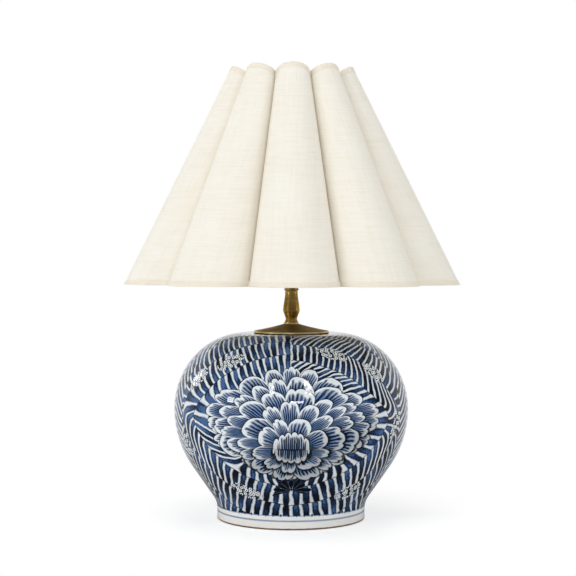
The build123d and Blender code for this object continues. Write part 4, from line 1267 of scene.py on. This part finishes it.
@dataclass
class Neck:
    """Brass cap, seating ring and turned spindle between the jar and the shade."""

    jar_top: float = 0.2215
    cap_r: float = 0.045
    cap_height: float = 0.0105
    cap_hub_r: float = 0.010
    cap_wall: float = 0.0012
    cap_bead: float = 0.0013
    bead_sweep: float = 1.6 * math.pi
    # how far in and how high the painted highlight reaches on the cap's bead
    lit_bead_reach: float = 1.6
    lit_bead_rise: float = 0.8
    cap_sag: float = 0.0005
    bore_r: float = 0.0051
    ring_r: float = 0.0092
    ring_height: float = 0.002
    ring_edge: float = 0.0009
    spindle_height: float = 0.0403
    rim_thickness: float = 0.0011
    spindle_ease: float = 0.28
    spindle_turns: tuple[Point, ...] = ((0.0080, 0.0), (0.0068, 0.004), (0.0098, 0.0148), (0.0074, 0.036))
    rim_r: float = 0.0090
    segments: int = 128
    cone_steps: int = 24
    turn_steps: int = 20
    edge_steps: int = 8
    flare_steps: int = 14

    def cap_profile(self) -> np.ndarray:
        """Flat hub, hollowed cone, rolled rim and the cone's underside.

        Returns:
            Radius and height of each point.
        """
        top = self.jar_top + self.cap_height
        rim_r, rim_z = self.cap_r - self.cap_bead, self.jar_top + 2 * self.cap_bead
        half_way = ((self.cap_hub_r + rim_r) / 2, (top + rim_z) / 2 - 2 * self.cap_sag)
        face = curve([(self.cap_hub_r, top), half_way, (rim_r, rim_z)], self.cone_steps)
        bead_centre, bead_radii = (rim_r, self.jar_top + self.cap_bead), (self.cap_bead, self.cap_bead)
        bead = arc(bead_centre, bead_radii, QUARTER, QUARTER - self.bead_sweep, self.turn_steps)
        under = face[::-1] - (0.0, self.cap_wall)
        hub = [(self.bore_r, top - self.cap_wall), (self.bore_r, top)]
        return np.concatenate([face, bead[1:], under[2:], hub])

    def ring_profile(self) -> np.ndarray:
        """Ring with a rounded edge.

        Returns:
            Radius and height of each point.
        """
        low, high = self.jar_top + self.cap_height, self.jar_top + self.cap_height + self.ring_height
        edge_r, edge = self.ring_r - self.ring_edge, (self.ring_edge, self.ring_edge)
        lower = arc((edge_r, low + self.ring_edge), edge, -QUARTER, 0, self.edge_steps)
        upper = arc((edge_r, high - self.ring_edge), edge, 0, QUARTER, self.edge_steps)
        return np.concatenate([[(self.bore_r, low)], lower, upper, [(self.bore_r, high)]])

    def spindle_profile(self) -> np.ndarray:
        """Foot, waist, bulge and neck, each drawn into the next with upright ends, and a flared rim.

        Returns:
            Radius and height of each point.
        """
        foot = self.jar_top + self.cap_height + self.ring_height
        turns = [(radius, foot + height) for radius, height in self.spindle_turns]
        top = foot + self.spindle_height
        rim_z = top - self.rim_thickness
        line = [np.array(turns[:1])]
        for (low_r, low_z), (high_r, high_z) in zip(turns, turns[1:]):
            handle = self.spindle_ease * (high_z - low_z)
            poles = [(low_r, low_z), (low_r, low_z + handle), (high_r, high_z - handle), (high_r, high_z)]
            line.append(curve(poles, self.turn_steps)[1:])
        neck_r = turns[-1][0]
        line.append(curve([turns[-1], (neck_r, rim_z), (self.rim_r, rim_z)], self.flare_steps)[1:])
        rim = [(self.rim_r, top), (self.bore_r, top), (self.bore_r, foot)]
        return np.concatenate([*line, rim])

    def build(self) -> list[bpy.types.Object]:
        """Turn the three brass pieces, with worn brass and a painted highlight on the upper part of the
        cap's bead and round the ring's edge.

        Returns:
            Cap, ring and spindle.
        """
        profiles = {
            "vase_cap": self.cap_profile(),
            "seating_ring": self.ring_profile(),
            "neck_spindle": self.spindle_profile(),
        }
        pieces = []
        for node, profile in profiles.items():
            surface = turned(profile, self.segments, True)
            # painted highlight with worn brass on the upper part of the cap's bead
            worn_and_lit = profile[:, 0] > self.cap_r - self.lit_bead_reach * self.cap_bead
            worn_and_lit &= profile[:, 1] > self.jar_top + self.lit_bead_rise * self.cap_bead
            if node == "seating_ring":
                worn_and_lit = profile[:, 0] > self.ring_r - self.ring_edge
            surface.finish_of_quad = np.repeat(worn_and_lit, self.segments).astype(np.int32)
            metal = LINING_REFLECTION_CAP_BRASS if node == "vase_cap" else BRASS
            pieces.append(make_piece(f"{node}_turned", surface, [metal, WORN_AND_LIT_BRASS], [node]))
        return pieces


class Edge(Enum):
    """The shade's two bound edges."""

    TOP = "shade_top_binding"
    BOTTOM = "shade_bottom_binding"


@dataclass
class Shade:
    """Ten-lobed linen cone with arched top edges, a lining and bound edges."""

    lobes: int = 10
    bottom_r: float = 0.203
    top_r: float = 0.0795
    height: float = 0.2455
    arch: float = 0.0104
    linen: float = 0.0008
    lining: float = 0.0005
    play: float = 0.00002
    tape: float = 0.0005
    tape_width: float = 0.006
    tape_section: tuple[Point, ...] = (
        (0.0, 0.1), (0.03, 0.7), (0.12, 1.0), (0.5, 1.0), (0.88, 1.0), (0.97, 0.7), (1.0, 0.1),
        (1.0, 0.04), (0.0, 0.04),
    )
    seam: float = 0.00008
    weave_shift: float = 0.61
    columns: int = 28
    rows: int = 48

    def __post_init__(self) -> None:
        """Take the lower edge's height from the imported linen."""
        self.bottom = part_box("shade_linen")[0].z
        self.half_lobe = math.pi / self.lobes

    def peak(self, height: np.ndarray) -> np.ndarray:
        """Radius of the lobes' outermost line at a height."""
        return self.bottom_r + (height - self.bottom) / self.height * (self.top_r - self.bottom_r)

    def lobe_angles(self, inset: float) -> np.ndarray:
        """Angles round a lobe's own centre, from valley to valley.

        Outside the linen the arcs end where they meet the plane through the valley.

        Args:
            inset: distance of the face inside the linen's outer face.

        Returns:
            One angle for each column of a lobe.
        """
        arc_r = self.top_r / (1 + math.tan(self.half_lobe)) * math.tan(self.half_lobe)
        reach = QUARTER - self.seam / arc_r
        if inset < 0:
            meeting = arc_r * math.cos(self.half_lobe) / (arc_r - inset)
            reach = self.half_lobe + math.asin(meeting) - self.seam / arc_r
        return np.linspace(-reach, reach, self.columns)

    def top_edge(self, inset: float) -> np.ndarray:
        """Arched top edge of one lobe.

        The edge is the cut of an upright cone that opens upwards through the valleys and the peaks:
        z = low + tilt r, with r = shape peak(z) along a column.

        Args:
            inset: distance of the face inside the linen's outer face.

        Returns:
            One height for each column of a lobe.
        """
        valley_z = self.bottom + self.height
        slope = (self.top_r - self.bottom_r) / self.height
        tangent = math.tan(self.half_lobe)
        valley_r = self.top_r / (1 + tangent) / math.cos(self.half_lobe)
        tilt = self.arch / (self.top_r + slope * self.arch - valley_r)
        angles = self.lobe_angles(inset)
        shape = np.hypot(1 + tangent * np.cos(angles), tangent * np.sin(angles)) / (1 + tangent)
        start = self.bottom_r - slope * self.bottom
        low = valley_z - valley_r * tilt
        return (low + tilt * shape * start) / (1 - tilt * shape * slope)

    def face(self, heights: np.ndarray, inset: float) -> tuple[np.ndarray, np.ndarray]:
        """Points and weave coordinates of all lobes, for heights given row by row and column by column.

        A lobe is an arc round a centre of its own, which lies peak / (1 + tan(half lobe)) from the axis.

        Args:
            heights: one height for each row and each column of a lobe.
            inset: distance of the face inside the linen's outer face.

        Returns:
            Points by row, and metres round the lobe and along the slant for each of them.
        """
        peak = self.peak(heights)
        centre = peak / (1 + math.tan(self.half_lobe))
        arc_r = centre * math.tan(self.half_lobe) - inset
        angles = self.lobe_angles(inset)
        out, side = centre + arc_r * np.cos(angles), arc_r * np.sin(angles)
        turn = np.arange(self.lobes)[:, None] * 2 * self.half_lobe - QUARTER
        out, side, tall = (np.repeat(part[:, None, :], self.lobes, axis=1) for part in (out, side, heights))
        x = out * np.cos(turn) - side * np.sin(turn)
        y = out * np.sin(turn) + side * np.cos(turn)
        points = np.stack([x, y, tall], axis=-1).reshape(len(heights), -1, 3)
        slant = math.hypot(1.0, (self.bottom_r - self.top_r) / self.height)
        shifts = np.arange(self.lobes)[:, None] * self.weave_shift
        girth = np.repeat((arc_r * angles)[:, None, :], self.lobes, axis=1) + shifts
        spots = np.stack([girth, tall * slant], axis=-1).reshape(len(heights), -1, 2)
        return points, spots

    def shell(self, rows: list[tuple[np.ndarray, float]]) -> Surface:
        """Closed shell through rows of points.

        Args:
            rows: the heights of a lobe's columns, and the inset, of each row.

        Returns:
            The shell, with its weave coordinates.
        """
        faces = [self.face(heights[None, :], inset) for heights, inset in rows]
        points = np.concatenate([points for points, _ in faces])
        spots = np.concatenate([spots for _, spots in faces])
        count = points.shape[1]
        quads = grid_quads(len(rows), count, True, True)
        return Surface(points.reshape(-1, 3), quads, spots.reshape(-1, 2))

    def sheet_rows(self, outer: float, inner: float) -> list[tuple[np.ndarray, float]]:
        """Rows up the outer face of a sheet and down its inner face.

        Args:
            outer: inset of the outer face.
            inner: inset of the inner face.

        Returns:
            Heights and inset of each row.
        """
        shares = np.linspace(0, 1, self.rows)
        sides = []
        for inset, order in ((outer, shares), (inner, shares[::-1])):
            top = self.top_edge(inset)
            sides += [(self.bottom + share * (top - self.bottom), inset) for share in order]
        return sides

    def tape_rows(self, edge: Edge) -> list[tuple[np.ndarray, float]]:
        """Rows round the tape's section, up over its outer face with rounded edges and back under it.

        Args:
            edge: the edge that the tape binds.

        Returns:
            Heights and inset of each row.
        """
        rows = []
        for share, out in self.tape_section:
            inset = -self.tape * out
            if edge is Edge.BOTTOM:
                heights = np.full(self.columns, self.bottom + share * self.tape_width)
            else:
                heights = self.top_edge(inset) - (1 - share) * self.tape_width
            rows.append((heights, inset))
        return rows

    def build(self) -> list[bpy.types.Object]:
        """Make the linen, its lining and the two tapes.

        Returns:
            Cover, lining and tapes.
        """
        inner = self.linen + self.play
        outer_sheet = self.shell(self.sheet_rows(0.0, self.linen))
        lining_sheet = self.shell(self.sheet_rows(inner, inner + self.lining))
        cloth = make_piece("linen_cover", outer_sheet, [LINEN], ["shade_linen"], "weave")
        lining = make_piece("lining_sheet", lining_sheet, [LINING], ["shade_lining"], "weave")
        tapes = []
        for edge in Edge:
            strip = self.shell(self.tape_rows(edge))
            tapes.append(make_piece(f"{edge.name.lower()}_tape", strip, [TAPE], [edge.value], "weave"))
        return [cloth, lining, *tapes]


NODE_FINISHES: dict[Finish, tuple[str, ...]] = {
    BRASS: (
        "neck_washer", "harp_saddle", "harp_bow", "left_sleeve", "right_sleeve", "harp_swivel", "finial",
    ),
    BARE_BRASS: ("holder_cap", "holder_shell", "terminal_screws", "centre_contact"),
    ZINC: ("base_washer", "base_nut", "lamp_rod", "disc_nut", "set_screw", "switch_shaft"),
    NICKEL: ("screw_shell", "bulb_contact", "bulb_cap"),
    RUBBER: ("cord_bush", "base_gasket"),
    BEECH: ("centring_disc",),
    FELT: ("cap_gasket",),
    FIBRE: ("holder_liner",),
    BLACK: ("holder_body", "switch_knob", "bulb_insulator"),
    COLLAR: ("bulb_collar",),
    OPAL: ("bulb_glass",),
    WIRE: ("shade_bottom_ring", "shade_spider"),
}


def dress_nodes() -> None:
    """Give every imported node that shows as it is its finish."""
    for finish, names in NODE_FINISHES.items():
        for name in names:
            mesh = frame["nodes"][name].data
            mesh.materials.clear()
            mesh.materials.append(material_of(finish))
        LOG.info("%s on %s", finish.name, ", ".join(names))


@dataclass(frozen=True)
class SoftLamp:
    """A rectangular soft lamp, by its direction from the front, its height angle and its distance.

    Args:
        name: the lamp's name.
        azimuth: degrees to the right of the front.
        elevation: degrees above the aim.
        distance: metres from the aim.
        size: width and height.
        power: watts.
        mirrored: whether glossy surfaces show it.
        lighting: whether it lights matt surfaces too.
    """

    name: str
    azimuth: float
    elevation: float
    distance: float
    size: Point
    power: float
    mirrored: bool
    lighting: bool = True

    def build(self, aim: Vector) -> None:
        """Hang the lamp and turn it to the aim.

        Args:
            aim: the point that it lights.
        """
        side, rise = math.radians(self.azimuth), math.radians(self.elevation)
        out = Vector((math.cos(rise) * math.sin(side), -math.cos(rise) * math.cos(side), math.sin(rise)))
        lamp = bpy.data.lights.new(self.name, "AREA")
        lamp.shape = "RECTANGLE"
        lamp.size, lamp.size_y = self.size
        lamp.energy = self.power
        holder = bpy.data.objects.new(self.name, lamp)
        holder.location = aim + self.distance * out
        holder.rotation_euler = out.to_track_quat("Z", "Y").to_euler()
        holder.visible_glossy = self.mirrored
        holder.visible_diffuse = self.lighting
        bpy.context.scene.collection.objects.link(holder)


@dataclass
class Studio:
    """White table and backdrop, soft lamps and the camera of the photograph."""

    camera_distance: float = 1.787
    camera_height: float = 0.322
    camera_aside: float = -0.0042
    camera_turn: float = math.radians(1.07)
    pitch: float = math.radians(1.503)
    roll: float = math.radians(0.12)
    lens: float = 93.3
    sensor: float = 36.0
    aim: tuple[float, float, float] = (0.0, 0.0, 0.20)
    ambient: float = 0.54
    mirror_front: float = 0.10
    mirror_span: Point = (-0.1, 0.6)
    table_reach: float = 6.0
    table_tone: float = 0.78
    table_glow: float = 0.44
    table_behind: Point = (-0.1, 0.5)
    mirror_dim: float = 0.55
    clear_from: float = 0.11
    clear_to: float = 0.36
    lamps: tuple[SoftLamp, ...] = (
        SoftLamp("key", -42, 22, 2.4, (1.1, 1.3), 13.0, False),
        SoftLamp("fill", 50, 18, 2.4, (1.2, 1.2), 8.0, False),
        SoftLamp("back", 165, 32, 2.4, (1.2, 1.2), 9.0, False),
        SoftLamp("overhead", -10, 70, 2.2, (1.4, 1.2), 6.5, False),
        SoftLamp("window", 17, 37, 2.2, (0.20, 0.80), 20.0, True, False),
        SoftLamp("window_sill", 4, 17, 2.2, (0.50, 0.10), 7.5, True, False),
        SoftLamp("strip", -22, 33, 2.2, (0.13, 0.50), 9.0, True, False),
        SoftLamp("pane", -62, 15, 2.2, (0.26, 0.26), 9.0, True, False),
        SoftLamp("low_left", -58, 3, 2.2, (0.70, 0.35), 2.4, True),
        SoftLamp("low_right", 78, 3, 2.2, (0.70, 0.35), 1.2, True),
        SoftLamp("side_window", -120, 19, 2.2, (0.35, 0.45), 4.0, True),
    )

    def world(self) -> None:
        """Even light, seen as white by the camera; mirrors see white behind and a dim room in front."""
        world = bpy.data.worlds.new("studio")
        bpy.context.scene.world = world
        tree = ShaderTree(world)
        _, deep, _ = tree.split(tree.node("TexCoord", None, None, "Generated"))
        mirrored = tree.choose(self.mirror_front, 1.0, tree.step(deep, *self.mirror_span))
        strength = tree.choose(self.ambient, mirrored, tree.ray("Is Glossy Ray"))
        strength = tree.choose(strength, 1.0, tree.sight())
        sky = tree.node("Background", None, {"Color": WHITE, "Strength": strength})
        tree.close(sky, "OutputWorld")

    def table(self) -> None:
        """White table top, brightened for the camera and in mirrors behind, so that only the shadow shows.

        Away from the lamp it turns into the even white of the backdrop. In mirrors its own light is dimmed.
        """
        material = bpy.data.materials.new("white table")
        tree = ShaderTree(material)
        x, y, _ = tree.split(tree.place())
        glossy = tree.ray("Is Glossy Ray")
        seen = tree.choose(tree.sight(), 1.0, glossy * tree.step(y, *self.table_behind))
        glow = tree.node("Emission", None, {"Color": WHITE, "Strength": seen * self.table_glow})
        tone = self.table_tone * (1 - self.mirror_dim * glossy)
        lit = tree.node("AddShader", None, {0: glow, 1: tree.node("BsdfDiffuse", None, {"Color": tone})})
        away = tree.step((x * x + y * y).root(), self.clear_from, self.clear_to) * seen
        even = tree.node("Emission", None, {"Color": WHITE, "Strength": 1.0})
        tree.close(tree.node("MixShader", None, {0: away, 1: lit, 2: even}))
        reach = self.table_reach
        mesh = bpy.data.meshes.new("table_top")
        corners = [(-reach, -reach, 0), (reach, -reach, 0), (reach, reach, 0), (-reach, reach, 0)]
        mesh.from_pydata(corners, [], [(0, 1, 2, 3)])
        mesh.materials.append(material)
        table = bpy.data.objects.new("table_top", mesh)
        bpy.context.scene.collection.objects.link(table)

    def camera(self) -> None:
        """Long lens a little above the shade's lower edge, a step to the left and tipped down."""
        data = bpy.data.cameras.new("camera")
        data.lens = self.lens
        data.sensor_width = self.sensor
        view = bpy.data.objects.new("camera", data)
        sine, cosine = math.sin(self.camera_turn), math.cos(self.camera_turn)
        view.location = (
            self.camera_aside * cosine - self.camera_distance * sine,
            -self.camera_aside * sine - self.camera_distance * cosine,
            self.camera_height,
        )
        view.rotation_euler = (QUARTER - self.pitch, -self.roll, -self.camera_turn)
        bpy.context.scene.collection.objects.link(view)
        bpy.context.scene.camera = view

    def build(self) -> None:
        """Set the table, the lamps, the world and the camera."""
        bpy.context.scene.view_settings.view_transform = "Standard"
        self.table()
        self.world()
        for lamp in self.lamps:
            lamp.build(Vector(self.aim))
        self.camera()


def main() -> None:
    """Build and dress the lamp and set the studio."""
    logging.basicConfig(level=logging.INFO, format="%(name)s: %(message)s")
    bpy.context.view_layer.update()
    Jar().build()
    Neck().build()
    Shade().build()
    dress_nodes()
    Studio().build()
    bpy.context.view_layer.update()


if __name__ == "__main__":
    main()
